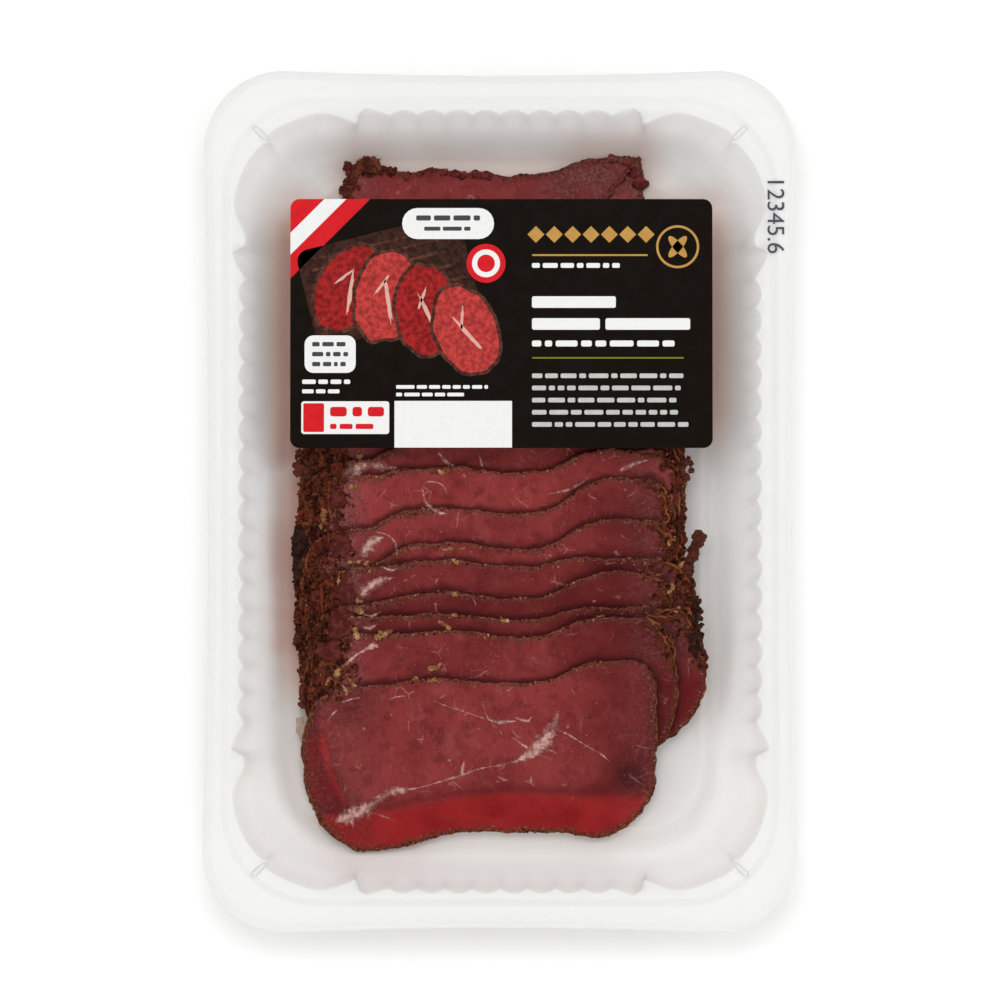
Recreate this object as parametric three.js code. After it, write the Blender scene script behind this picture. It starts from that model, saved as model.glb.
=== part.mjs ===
// A sealed pack of sliced cured beef ham: a fluted white tray, a clear lidding film with a label on it,
// and thin slices laid in the tray like shingles, each on top of the one before it.
// Millimetres. +X is the pack's right, +Y its upper end and +Z up. The origin is under the tray's middle.
import * as THREE from "three";

// Tray: sealing flange, turned-down lip and the step down to the cavity's edge
const SHEET = 0.8;
const TRAY_HEIGHT = 24;
const FLANGE_HALF_WIDTH = 74.25;
const FLANGE_HALF_LENGTH = 108;
const FLANGE_RADIUS = 20;
const FLANGE_BOW = 1.25;
const LIP_WIDTH = 1.9;
const LIP_ROLL = 0.7;
const LIP_DROP = 2.8;
const LEDGE_HALF_WIDTH = 67.75;
const LEDGE_HALF_LENGTH = 99.4;
const LEDGE_RADIUS = 22;
const LEDGE_DEPTH = 1.2;
const LEDGE_STEP = 0.5;

// Tray: flutes round the cavity's edge, counted on half a side and half an end
const SIDE_FLUTES = 9;
const SIDE_FLUTE_PITCH = 6.92;
const SIDE_CUSP = 64;
const SIDE_BULGE = 65.5;
const END_FLUTES = 5;
const END_FLUTE_PITCH = 6.9;
const END_CUSP = 96.7;
const END_BULGE = 97.9;
const CORNER_LOBE = [
  [66.9, 62.3], [64.1, 63.8], [63.9, 66.8], [67, 73.3], [65.8, 78.8], [63.6, 84.3], [60.2, 88.8],
  [58.1, 89.8], [57.7, 92.3], [51.8, 95.3], [44.5, 97.2], [36, 94.6], [34.8, 98.5],
];

// Tray: curve of the wall in run and drop, foot ring and raised floor panel
const FOOT_HALF_WIDTH = 54.5;
const FOOT_HALF_LENGTH = 87;
const FOOT_RADIUS = 18;
const WALL_RUN = 10.5;
const WALL_BEND = [5.4, 17.8];
const WALL_TOE = [7, 0.8];
const WALL_SHIFT = 0.55;
const FLUTED_STEPS = [0, 0.34, 0.62];
const PLAIN_STEPS = [0.82, 1];
const PANEL_HALF_WIDTH = 51.5;
const PANEL_HALF_LENGTH = 82.6;
const PANEL_RADIUS = 15;
const PANEL_RISE = 1;
const PANEL_STEP = 1;
const PANEL_TAPER = 0.25;

// Film and label, each a thin flat sheet on the one below
const SHEET_GAP = 0.1;
const FILM = 0.15;
const FILM_INSET = 1.2;
const LABEL = 0.12;
const LABEL_LEFT = -52.5;
const LABEL_RIGHT = 53.2;
const LABEL_TOP = 75.5;
const LABEL_LOW = 13;
const LABEL_RADIUS = 2.3;

// Slices: the shingle, and the size of a slice's rounded corners as width and height
const SLICE = 1.15;
const SLICE_GAP = 0.45;
const FLOOR_GAP = 0.35;
const DRAPE = 26;
const TOE_START = 86;
const TOE_CLIMB = 0.08;
const HIDDEN_SLICES = 9;
const HIDDEN_TOP = 71;
const SLICE_LENGTH = 40;
const UPPER_LEFT = [14, 19];
const UPPER_RIGHT = [8, 9];
const LOWER_LEFT = [15, 19];
const LOWER_RIGHT = [15, 22];
const SLICE_POINTS = 60;
const CRAG = 0.45;
// Slices that show above and below the label: upper edge, lowest point, left, right, how far the upper
// edge drops at its left end and rises at its right end, how round the upper corners are and the size
// of the lower left corner, where the last two differ from the others
const FIRST = [84.4, 44, -39.5, 36.5, -3, 4, 0.35];
const SHOWN = [
  [8.2, -33, -52, 47, 1.5, 5],
  [-2.1, -41, -51.5, 44, 4.5, 8.2],
  [-10.9, -49, -52, 46, 6, 6.5],
  [-15.2, -55.5, -50.5, 50, 1.3, 1.2],
  [-23.4, -60, -51, 44.5, 2.4, 5.8],
  [-28.7, -64.5, -50, 51.6, 0, 2.3],
  [-33, -70, -48.5, 44.6, 0, 3.8],
  [-44.9, -88, -50, 39.6, 1.6, 5, 0.85, [16, 26]],
];

function seededRandom(seed) {
  let state = seed;
  return () => {
    state = (state * 1664525 + 1013904223) % 4294967296;
    return state / 4294967296;
  };
}

function smooth(value) {
  const t = Math.min(Math.max(value, 0), 1);
  return t * t * (3 - 2 * t);
}

// A closed ring from its first quarter, which runs from the X axis to the Y axis
function mirrorQuarter(quarter) {
  const left = quarter.slice(0, -1).reverse().map((p) => new THREE.Vector2(-p.x, p.y));
  const upper = [...quarter, ...left];
  const lower = upper.slice(1, -1).reverse().map((p) => new THREE.Vector2(p.x, -p.y));
  return [...upper, ...lower];
}

// A rounded rectangle whose sides are drawn in by bow at their middles
function roundedRing(halfWidth, halfLength, radius, bow = 0) {
  const sideSteps = 3;
  const cornerSteps = 6;
  const straightX = halfWidth - radius;
  const straightY = halfLength - radius;
  const quarter = [];
  for (let i = 0; i <= sideSteps; i += 1) {
    const along = i / sideSteps;
    quarter.push(new THREE.Vector2(halfWidth - bow * (1 - along ** 2), straightY * along));
  }
  for (let i = 1; i < cornerSteps; i += 1) {
    const angle = (Math.PI / 2) * (i / cornerSteps);
    const x = straightX + radius * Math.cos(angle);
    quarter.push(new THREE.Vector2(x, straightY + radius * Math.sin(angle)));
  }
  for (let i = sideSteps; i >= 0; i -= 1) {
    const along = i / sideSteps;
    quarter.push(new THREE.Vector2(straightX * along, halfLength - bow * (1 - along ** 2)));
  }
  return mirrorQuarter(quarter);
}

// The cavity's edge: scallops along the sides and ends, and a two-part lobe at each corner
function flutedRing() {
  const quarter = [];
  for (let i = 0; i < SIDE_FLUTES; i += 1) {
    const y = i * SIDE_FLUTE_PITCH;
    quarter.push(new THREE.Vector2(SIDE_CUSP, y));
    quarter.push(new THREE.Vector2(SIDE_BULGE, y + SIDE_FLUTE_PITCH / 3));
    quarter.push(new THREE.Vector2(SIDE_BULGE, y + (SIDE_FLUTE_PITCH * 2) / 3));
  }
  CORNER_LOBE.forEach(([x, y]) => quarter.push(new THREE.Vector2(x, y)));
  for (let i = END_FLUTES; i > 0; i -= 1) {
    const x = i * END_FLUTE_PITCH;
    quarter.push(new THREE.Vector2(x - END_FLUTE_PITCH / 3, END_BULGE));
    quarter.push(new THREE.Vector2(x - (END_FLUTE_PITCH * 2) / 3, END_BULGE));
    quarter.push(new THREE.Vector2(x - END_FLUTE_PITCH, END_CUSP));
  }
  return mirrorQuarter(quarter);
}

// Where a point of the cavity's edge comes down to on the foot ring, with its outward direction
function footOf(point) {
  const corner = new THREE.Vector2(FOOT_HALF_WIDTH - FOOT_RADIUS, FOOT_HALF_LENGTH - FOOT_RADIUS);
  const base = point.clone().clamp(corner.clone().negate(), corner);
  const outward = point.clone().sub(base).normalize();
  return { foot: base.addScaledVector(outward, FOOT_RADIUS), outward };
}

// One ring of the wall. The curve's run blends the fluted edge into the plain foot, so the flutes fade.
function wallRing(step, ring, shift) {
  const drop = TRAY_HEIGHT - LEDGE_DEPTH - SHEET;
  const curve = new THREE.CubicBezierCurve(
    new THREE.Vector2(0, drop),
    new THREE.Vector2(...WALL_BEND),
    new THREE.Vector2(...WALL_TOE),
    new THREE.Vector2(WALL_RUN, 0),
  );
  const place = curve.getPoint(step);
  return ring.map((point) => {
    const { foot, outward } = footOf(point);
    const flat = point.clone().lerp(foot, place.x / WALL_RUN).addScaledVector(outward, shift);
    const z = shift > 0 ? place.y : place.y + SHEET;
    return new THREE.Vector3(flat.x, flat.y, z);
  });
}

function level(ring, z) {
  return ring.map((point) => new THREE.Vector3(point.x, point.y, z));
}

// A closed body from a chain of loops that all run anticlockwise from above, first over its upper face
// and then back under it. The first and last loops are closed by a middle point.
function bodyOfLoops(loops, middle) {
  const positions = [];
  const triangles = [];
  const keep = (point) => positions.push(point.x, point.y, point.z) / 3 - 1;
  const closed = loops.map((loop) => {
    const turn = loop.map((point) => Math.atan2(point.y - middle.y, (point.x - middle.x) * middle.stretch));
    const ids = loop.map(keep);
    const turns = turn.map((angle) => (angle - turn[0] + 2 * Math.PI) % (2 * Math.PI));
    return { ids: [...ids, ids[0]], turns: [...turns, 2 * Math.PI], count: loop.length };
  });
  const first = closed[0];
  const top = keep(new THREE.Vector3(middle.x, middle.y, middle.high));
  for (let i = 0; i < first.count; i += 1) {
    triangles.push(top, first.ids[i], first.ids[i + 1]);
  }
  for (let n = 1; n < closed.length; n += 1) {
    const a = closed[n - 1];
    const b = closed[n];
    let i = 0;
    let j = 0;
    while (i < a.count || j < b.count) {
      const stepA = i < a.count && (j === b.count || a.turns[i + 1] < b.turns[j + 1]);
      const next = stepA ? a.ids[i + 1] : b.ids[j + 1];
      triangles.push(a.ids[i], b.ids[j], next);
      i += stepA ? 1 : 0;
      j += stepA ? 0 : 1;
    }
  }
  const last = closed[closed.length - 1];
  const under = keep(new THREE.Vector3(middle.x, middle.y, middle.low));
  for (let i = 0; i < last.count; i += 1) {
    triangles.push(last.ids[i], under, last.ids[i + 1]);
  }
  const geometry = new THREE.BufferGeometry();
  geometry.setAttribute("position", new THREE.Float32BufferAttribute(positions, 3));
  geometry.setIndex(triangles);
  geometry.computeVertexNormals();
  return geometry;
}

function flangeRing(inset) {
  return roundedRing(
    FLANGE_HALF_WIDTH - inset,
    FLANGE_HALF_LENGTH - inset,
    FLANGE_RADIUS - inset,
    FLANGE_BOW,
  );
}

function ledgeRing(grow) {
  return roundedRing(LEDGE_HALF_WIDTH + grow, LEDGE_HALF_LENGTH + grow, LEDGE_RADIUS + grow);
}

function panelRing(grow) {
  return roundedRing(PANEL_HALF_WIDTH + grow, PANEL_HALF_LENGTH + grow, PANEL_RADIUS + grow);
}

function trayGeometry() {
  const fluted = flutedRing();
  const plain = roundedRing(FOOT_HALF_WIDTH, FOOT_HALF_LENGTH, FOOT_RADIUS);
  const outside = plain.map((point) => footOf(point.clone().multiplyScalar(2)).outward);
  const edge = plain.map((point, i) => point.clone().addScaledVector(outside[i], WALL_RUN));
  const ledge = TRAY_HEIGHT - LEDGE_DEPTH;
  const inner = [
    level(panelRing(0), SHEET + PANEL_RISE),
    level(panelRing(PANEL_STEP), SHEET),
    ...PLAIN_STEPS.slice().reverse().map((step) => wallRing(step, edge, 0)),
    ...FLUTED_STEPS.slice().reverse().map((step) => wallRing(step, fluted, 0)),
  ];
  const flange = [
    level(ledgeRing(0), ledge),
    level(ledgeRing(LEDGE_STEP), TRAY_HEIGHT),
    level(flangeRing(LIP_WIDTH), TRAY_HEIGHT),
    level(flangeRing(0), TRAY_HEIGHT - LIP_ROLL),
    level(flangeRing(0), TRAY_HEIGHT - LIP_DROP),
    level(flangeRing(SHEET), TRAY_HEIGHT - LIP_DROP),
    level(flangeRing(SHEET + LIP_WIDTH), TRAY_HEIGHT - SHEET),
    level(ledgeRing(LEDGE_STEP + WALL_SHIFT), TRAY_HEIGHT - SHEET),
    level(ledgeRing(WALL_SHIFT), ledge - SHEET),
  ];
  const outer = [
    ...FLUTED_STEPS.map((step) => wallRing(step, fluted, WALL_SHIFT)),
    ...PLAIN_STEPS.map((step) => wallRing(step, edge, WALL_SHIFT)),
    level(panelRing(PANEL_STEP - PANEL_TAPER), 0),
    level(panelRing(-PANEL_TAPER), PANEL_RISE),
  ];
  const stretch = FLANGE_HALF_LENGTH / FLANGE_HALF_WIDTH;
  const middle = { x: 0, y: 0, stretch, high: SHEET + PANEL_RISE, low: PANEL_RISE };
  return bodyOfLoops([...inner, ...flange, ...outer], middle);
}

function sheetGeometry(points, thickness) {
  return new THREE.ExtrudeGeometry(new THREE.Shape(points), { depth: thickness, bevelEnabled: false });
}

function labelOutline() {
  const halfWidth = (LABEL_RIGHT - LABEL_LEFT) / 2;
  const halfHeight = (LABEL_TOP - LABEL_LOW) / 2;
  const centre = new THREE.Vector2(LABEL_LEFT + halfWidth, LABEL_LOW + halfHeight);
  return roundedRing(halfWidth, halfHeight, LABEL_RADIUS).map((point) => point.add(centre));
}

// Slices under the label widen step by step, with small differences in size
function hiddenSlice(index) {
  const random = seededRandom(700 + index);
  const vary = (middle, range) => middle + (random() * 2 - 1) * range;
  const along = index / HIDDEN_SLICES;
  const [shownTop, , shownLeft, shownRight] = SHOWN[0];
  const top = THREE.MathUtils.lerp(HIDDEN_TOP, shownTop, along);
  const left = THREE.MathUtils.lerp(FIRST[2], shownLeft, Math.sqrt(along));
  const right = THREE.MathUtils.lerp(FIRST[3], shownRight, Math.sqrt(along));
  return [top, top - vary(SLICE_LENGTH, 1), vary(left, 1), vary(right, 1.5), vary(3, 2), vary(4.5, 1.5)];
}

function sliceRows() {
  const hidden = Array.from({ length: HIDDEN_SLICES }, (_, i) => hiddenSlice(i));
  return [FIRST, ...hidden, ...SHOWN].map((row) => {
    const [top, low, left, right, drop, rise, round = 1, lowerLeft = LOWER_LEFT] = row;
    return { top, low, left, right, drop, rise, round, lowerLeft };
  });
}

// The wavy outline of one slice: rounded corners, a hump and a dip along the upper edge, a lower edge
// that hangs lowest at the left, and small crags from a seeded draw
function sliceOutline(slice, seed) {
  const { top, low, left, right, drop, rise, round, lowerLeft } = slice;
  const middleY = (top + low) / 2;
  const quarter = Math.PI / 2;
  const upperRight = UPPER_RIGHT.map((size) => size * round);
  const upperLeft = UPPER_LEFT.map((size) => size * round);
  const path = new THREE.Path();
  path.moveTo(right, middleY);
  path.absellipse(right - upperRight[0], top - upperRight[1], ...upperRight, 0, quarter);
  path.absellipse(left + upperLeft[0], top - upperLeft[1], ...upperLeft, quarter, 2 * quarter);
  path.absellipse(left + lowerLeft[0], low + lowerLeft[1], ...lowerLeft, 2 * quarter, 3 * quarter);
  path.absellipse(right - LOWER_RIGHT[0], low + LOWER_RIGHT[1], ...LOWER_RIGHT, 3 * quarter, 4 * quarter);
  path.lineTo(right, middleY);
  const random = seededRandom(40 + seed);
  return path.getSpacedPoints(SLICE_POINTS).slice(0, SLICE_POINTS).map((point) => {
    const upper = smooth((point.y - middleY) / (top - middleY));
    const lower = smooth((middleY - point.y) / (middleY - low));
    const hump = 0.8 * Math.sin(((point.x + 24) / 38) * 2 * Math.PI) * smooth((28 - Math.abs(point.x)) / 10);
    const wave = hump + rise * smooth((point.x - 10) / 18) - drop * smooth((-22 - point.x) / 13);
    const hang = 5 * smooth((point.x + 34) / 26) - 1.5 * smooth((point.x - 12) / 14);
    const reach = 1 + ((random() * 2 - 1) * CRAG) / Math.hypot(point.x, point.y - middleY);
    const y = point.y + upper * wave + lower * hang;
    return new THREE.Vector2(point.x * reach, middleY + (y - middleY) * reach);
  });
}

// Height of a slice's underside: it lies on all earlier slices, drapes down past their lower edges, and
// climbs a little where it reaches the toe of the wall
function drapeHeight(y, rows, index) {
  const floor = SHEET + PANEL_RISE + FLOOR_GAP;
  const layers = rows.slice(0, index).map((row) => {
    const t = Math.min(Math.max((y - row.low + DRAPE) / DRAPE, 0), 1);
    return (1 - Math.cos(Math.PI * t)) / 2;
  });
  const climb = TOE_CLIMB * Math.max(Math.abs(y) - TOE_START, 0) ** 2;
  return floor + climb + (SLICE + SLICE_GAP) * layers.reduce((sum, layer) => sum + layer, 0);
}

function sliceGeometry(rows, index) {
  const row = rows[index];
  const outline = sliceOutline(row, index);
  const centre = new THREE.Vector2((row.left + row.right) / 2, (row.top + row.low) / 2);
  const rings = [[0.45, 3], [0.8, 2], [1, 1]].map(([scale, every]) => {
    const kept = outline.filter((_, i) => i % every === 0);
    return kept.map((point) => centre.clone().lerp(point, scale));
  });
  const raised = (thickness) => (ring) => ring.map((point) => {
    return new THREE.Vector3(point.x, point.y, drapeHeight(point.y, rows, index) + thickness);
  });
  const upper = rings.map(raised(SLICE));
  const lower = rings.slice().reverse().map(raised(0));
  const low = drapeHeight(centre.y, rows, index);
  const stretch = (row.top - row.low) / (row.right - row.left);
  const middle = { x: centre.x, y: centre.y, stretch, high: low + SLICE, low };
  return bodyOfLoops([...upper, ...lower], middle);
}

function addMesh(group, name, geometry, look, z = 0) {
  const mesh = new THREE.Mesh(geometry, new THREE.MeshStandardMaterial(look));
  mesh.name = name;
  mesh.position.z = z;
  group.add(mesh);
}

const pack = new THREE.Group();
const filmLow = TRAY_HEIGHT + SHEET_GAP;
const labelLow = filmLow + FILM + SHEET_GAP;
addMesh(pack, "tray", trayGeometry(), { color: "#e9e8e4", roughness: 0.45, metalness: 0 });
const filmLook = { color: "#f4f5f5", roughness: 0.05, metalness: 0, transparent: true, opacity: 0.12 };
addMesh(pack, "film", sheetGeometry(flangeRing(FILM_INSET), FILM), filmLook, filmLow);
const labelLook = { color: "#17130f", roughness: 0.35, metalness: 0 };
addMesh(pack, "label", sheetGeometry(labelOutline(), LABEL), labelLook, labelLow);
sliceRows().forEach((row, index, rows) => {
  const name = `slice_${String(index + 1).padStart(2, "0")}`;
  addMesh(pack, name, sliceGeometry(rows, index), { color: "#7b3133", roughness: 0.5, metalness: 0 });
});

export default pack;
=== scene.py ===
import math
import random

import bmesh
import bpy
import numpy as np
from mathutils import Matrix, Vector, noise
from mathutils.bvhtree import BVHTree


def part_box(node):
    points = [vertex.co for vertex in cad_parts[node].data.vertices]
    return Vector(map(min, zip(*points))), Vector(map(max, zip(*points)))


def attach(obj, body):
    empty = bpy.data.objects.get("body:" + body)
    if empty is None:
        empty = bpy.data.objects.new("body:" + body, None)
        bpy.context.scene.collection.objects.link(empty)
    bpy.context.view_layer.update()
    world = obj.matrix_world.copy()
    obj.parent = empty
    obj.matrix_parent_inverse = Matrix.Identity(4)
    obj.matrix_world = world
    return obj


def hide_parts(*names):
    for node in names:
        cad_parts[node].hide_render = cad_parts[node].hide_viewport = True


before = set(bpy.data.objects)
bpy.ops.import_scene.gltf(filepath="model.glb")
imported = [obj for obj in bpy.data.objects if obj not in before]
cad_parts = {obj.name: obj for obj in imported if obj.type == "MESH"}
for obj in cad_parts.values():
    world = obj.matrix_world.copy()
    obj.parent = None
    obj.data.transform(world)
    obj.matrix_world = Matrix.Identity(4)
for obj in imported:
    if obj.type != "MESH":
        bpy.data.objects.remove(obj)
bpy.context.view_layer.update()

MM = 0.001

# Tray: each rounded rectangle is half its width, half its length and its corner radius
WALL = 0.5
FLOOR = 0.8
TRAY_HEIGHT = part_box("tray")[1].z / MM
FLANGE = (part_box("tray")[1].x / MM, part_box("tray")[1].y / MM, 20.0)
FLANGE_BOW = 1.25
LEDGE = (67.75, 99.4, 22.0)
LEDGE_Z = TRAY_HEIGHT - 1.2
BACKBONE = (64.7, 97.3, 22.0)
FOOT = (54.5, 87.0, 18.0)
PANEL = (51.5, 82.6, 15.0)
PANEL_RISE = 1.0
WALL_RUN = 10.5
WALL_BEND = (3.6, 13.4)
WALL_TOE = (7.0, 2.4)
WALL_RINGS = 15
SIDE_FLUTES = 9
SIDE_PITCH = 6.92
SIDE_CUSP = 64.0
SIDE_BULGE = 65.4
END_FLUTES = 5
END_PITCH = 6.9
END_CUSP = 96.8
END_BULGE = 98.0
FLUTE_STEPS = 8
LOBE_STEPS = 5
CORNER_LOBE = [
    (66.9, 62.3), (64.1, 63.8), (63.9, 66.8), (66.5, 73.3), (65.8, 78.8), (63.6, 84.3), (60.2, 88.8),
    (58.1, 89.8), (57.7, 92.3), (51.8, 95.3), (44.5, 97.2), (36.0, 94.6), (34.8, 98.5),
]
RIB = (60.5, 92.6, 2.9, 0.65)
LABEL_CORNER = 2.3
CALM_SPAN = 5
CALMNESS = 0.8
CALM_DEPTH = 12.0
# How far the painted reflection and shadow of the meat reaches past the slices and the label, in millimetres
PAINTED_REFLECTION_REACH = 11.0

# Slices
SLICE_NODES = sorted(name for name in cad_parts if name.startswith("slice"))
SLICE = 1.15
LAYER = 1.6
DRAPE = 26.0
SLICE_FLOOR = FLOOR + PANEL_RISE + 0.35
TOE_START = 86.0
TOE_CLIMB = 0.08
RIM_POINTS = 560
RIM_RINGS = (0.3, 0.7, 1.2, 1.9, 3.0)
RIM_SOFTNESS = 6
CORE_RINGS = 18
CORE_CROWDING = 1.6
CORE_SQUASH = (0.55, 0.02)
FIRST_SHOWN = 10
SHADES = (1.0, 0.65, 0.6, 0.3, 0.08, 0.2, 0.45, 0.68)
HIDDEN_SHADE = 0.6
MIDDLE_BARE = 0.4
RIGHT_SHADE = 0.45

# Where the last slice is clear red, which is painted light for light coming back through it from the white
# tray: below the first line, given as x and y, and left of the second one, given as y and x
RED_BELOW = ((-38, -78.5), (-31, -76.5), (-22, -74.8), (-9, -73.0), (0, -71.8), (20, -72.8), (44, -72.0))
RED_LEFT = ((-80, -34.0), (-76.7, -36.5), (-73.4, -39.0), (-69, -41.3), (-63.8, -42.8), (-56, -44.0))


def smooth(value):
    t = np.clip(value, 0.0, 1.0)
    return t * t * (3 - 2 * t)


def mix(a, b, t):
    return a + (b - a) * t


def wobble(points, scale, seed):
    """Smooth noise from -1 to 1 at points in the plane, with features about scale wide."""
    return np.array([noise.noise(Vector((x / scale, y / scale, seed * 7.31))) for x, y in points])


# Camera and light


def camera_and_light():
    """A long lens looks down on the pack from just below its lower end, among four soft boxes."""
    distance = 1.5
    tilt = math.radians(87)
    frame_width = 0.25
    aim = Vector((0, 0, TRAY_HEIGHT * MM))
    back = Vector((0, -math.cos(tilt), math.sin(tilt)))
    lens = bpy.data.cameras.new("camera")
    lens.sensor_width = 36
    lens.lens = lens.sensor_width * distance / frame_width
    camera = bpy.data.objects.new("camera", lens)
    camera.location = aim + back * distance
    camera.rotation_mode = "QUATERNION"
    camera.rotation_quaternion = (-back).to_track_quat("-Z", "Y")
    bpy.context.scene.collection.objects.link(camera)
    bpy.context.scene.camera = camera

    world = bpy.data.worlds.new("studio")
    world.use_nodes = True
    world.node_tree.nodes["Background"].inputs["Color"].default_value = (1, 1, 1, 1)
    world.node_tree.nodes["Background"].inputs["Strength"].default_value = 0.58
    bpy.context.scene.world = world
    for name, place, size, power in (
        ("upper_box", Vector((-0.05, 0.3, 1.28)), 0.65, 4.9),
        ("lower_box", Vector((0.1, -1.0, 0.8)), 1.0, 3.2),
        ("left_box", Vector((-1.0, 0.1, 0.8)), 1.0, 2.9),
        ("right_box", Vector((1.0, 0.1, 0.8)), 1.0, 3.5),
    ):
        light = bpy.data.lights.new(name, "AREA")
        light.shape = "DISK"
        light.size = size
        light.energy = power
        lamp = bpy.data.objects.new(name, light)
        lamp.location = place
        lamp.rotation_mode = "QUATERNION"
        lamp.rotation_quaternion = place.to_track_quat("Z", "Y")
        bpy.context.scene.collection.objects.link(lamp)
    bpy.context.scene.view_settings.view_transform = "Standard"


# Materials


def new_material(name, roughness, base=None):
    """A material with its Principled shader; roughness and base colour may be linked over later."""
    material = bpy.data.materials.new(name)
    material.use_nodes = True
    tree = material.node_tree
    shader = tree.nodes["Principled BSDF"]
    shader.inputs["Roughness"].default_value = roughness
    if base:
        shader.inputs["Base Color"].default_value = (*base, 1)
    return material, tree, shader


def add_node(tree, kind, *inputs, **settings):
    """Adds a node with its settings, and joins or sets its inputs in order; None skips one."""
    node = tree.nodes.new(kind)
    for key, value in settings.items():
        setattr(node, key, value)
    for socket, value in zip(node.inputs, inputs):
        if isinstance(value, bpy.types.NodeSocket):
            tree.links.new(value, socket)
        elif value is not None:
            socket.default_value = value
    return node


def place_mm(tree, stretch=(1.0, 1.0, 1.0), turn=0.0):
    """Object coordinates in millimetres, turned about the upright axis and then stretched."""
    coordinates = add_node(tree, "ShaderNodeTexCoord").outputs["Object"]
    mapping = add_node(tree, "ShaderNodeMapping", coordinates)
    mapping.inputs["Rotation"].default_value = (0, 0, math.radians(turn))
    mapping.inputs["Scale"].default_value = [1000 * share for share in stretch]
    return mapping.outputs[0]


def grain(tree, place, scale, detail=3.0, rough=0.55):
    """Fractal noise from 0 to 1; the scale is in features for each millimetre."""
    return add_node(tree, "ShaderNodeTexNoise", place, None, scale, detail, rough).outputs["Fac"]


def ramp(tree, value, low, high, out_low=0.0, out_high=1.0):
    """A smooth step from one range of values to another."""
    return add_node(
        tree, "ShaderNodeMapRange", value, low, high, out_low, out_high, interpolation_type="SMOOTHSTEP"
    ).outputs[0]


def blend(tree, share, low, high):
    """Mixes two colours, given as triples or sockets."""
    node = add_node(tree, "ShaderNodeMix", share, data_type="RGBA")
    for socket, value in ((node.inputs[6], low), (node.inputs[7], high)):
        if isinstance(value, tuple):
            socket.default_value = (*value, 1)
        else:
            tree.links.new(value, socket)
    return node.outputs[2]


def calculate(tree, operation, a, b=0.0):
    return add_node(tree, "ShaderNodeMath", a, b, operation=operation).outputs[0]


def attribute(tree, name):
    return add_node(tree, "ShaderNodeAttribute", attribute_name=name).outputs["Fac"]


def warp(tree, place, scale, reach):
    """Places pushed about by smooth noise, by up to half the reach in millimetres."""
    push = add_node(tree, "ShaderNodeTexNoise", place, None, scale, 2.0).outputs["Color"]
    centred = add_node(tree, "ShaderNodeVectorMath", push, (0.5, 0.5, 0.5), operation="SUBTRACT").outputs[0]
    return add_node(
        tree, "ShaderNodeVectorMath", centred, (reach, reach, reach), place, operation="MULTIPLY_ADD"
    ).outputs[0]


def web(tree, place, scale, thickness):
    """Thin lines between cells, 1 on a line; the thickness is a share of a cell."""
    cells = add_node(tree, "ShaderNodeTexVoronoi", place, None, scale, feature="DISTANCE_TO_EDGE")
    return ramp(tree, cells.outputs["Distance"], 0.0, thickness, 1.0, 0.0)


def bump(tree, shader, height, strength, distance):
    node = add_node(tree, "ShaderNodeBump")
    node.inputs["Strength"].default_value = strength
    node.inputs["Distance"].default_value = distance * MM
    tree.links.new(height, node.inputs["Height"])
    tree.links.new(node.outputs[0], shader.inputs["Normal"])


def white_plastic(name, scatter=0.0, painted_reflection_and_shadow=None):
    """Satin white sheet, so thin that light comes through; scatter is the share that does. Attributes: cavity
    is 1 below the ledge, deep rises from 0 there to 1 low on the wall, and the painted reflection and shadow
    attribute is 1 against the meat, where the white takes the given colour, if there is one, as a painted
    reflection of the red meat with its painted shadow. The whites
    hold painted light and shade as well: the flange is a darker white than the walls, and the wall is darker
    just below its brink and lighter lower down."""
    material, tree, shader = new_material(name, 0.4)
    place = place_mm(tree)
    cloud = grain(tree, place, 0.05)
    # painted light and shade: the flange is painted a darker white than the walls, and the wall is painted
    # darker just below its brink and lighter lower down, a little less light again on the floor
    flange = blend(tree, cloud, (0.715, 0.715, 0.705), (0.74, 0.74, 0.73))
    wall = blend(tree, attribute(tree, "deep"), (0.78, 0.765, 0.735), (0.96, 0.945, 0.92))
    white = blend(tree, attribute(tree, "cavity"), flange, wall)
    # painted reflection and shadow: against the meat the white is mixed toward the given pink-brown colour
    if painted_reflection_and_shadow:
        white = blend(tree, attribute(tree, "painted_reflection_and_shadow"), white, painted_reflection_and_shadow)
    tree.links.new(white, shader.inputs["Base Color"])
    tree.links.new(ramp(tree, cloud, 0.3, 0.7, 0.34, 0.5), shader.inputs["Roughness"])
    shader.inputs["Specular IOR Level"].default_value = 0.15
    shader.inputs["Subsurface Weight"].default_value = scatter
    shader.inputs["Subsurface Radius"].default_value = (1.0, 1.0, 1.0)
    shader.inputs["Subsurface Scale"].default_value = 1.4 * MM
    bump(tree, shader, grain(tree, place, 2.2, 0.0), 0.08, 0.4)
    return material


def clear_film():
    """Almost all light goes through; the rest meets a glossy skin, more of it at a slant."""
    material, tree, shader = new_material("clear_film", 0.08, (0.9, 0.92, 0.93))
    shader.inputs["IOR"].default_value = 1.4
    clear = add_node(tree, "ShaderNodeBsdfTransparent")
    facing = add_node(tree, "ShaderNodeLayerWeight", 0.25).outputs["Facing"]
    share = ramp(tree, facing, 0.1, 1.0, 0.0, 0.45)
    mixed = add_node(tree, "ShaderNodeMixShader", share, clear.outputs[0], shader.outputs[0])
    tree.links.new(mixed.outputs[0], tree.nodes["Material Output"].inputs["Surface"])
    bump(tree, shader, grain(tree, place_mm(tree), 0.06, 0.0), 0.25, 0.6)
    return material


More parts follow.
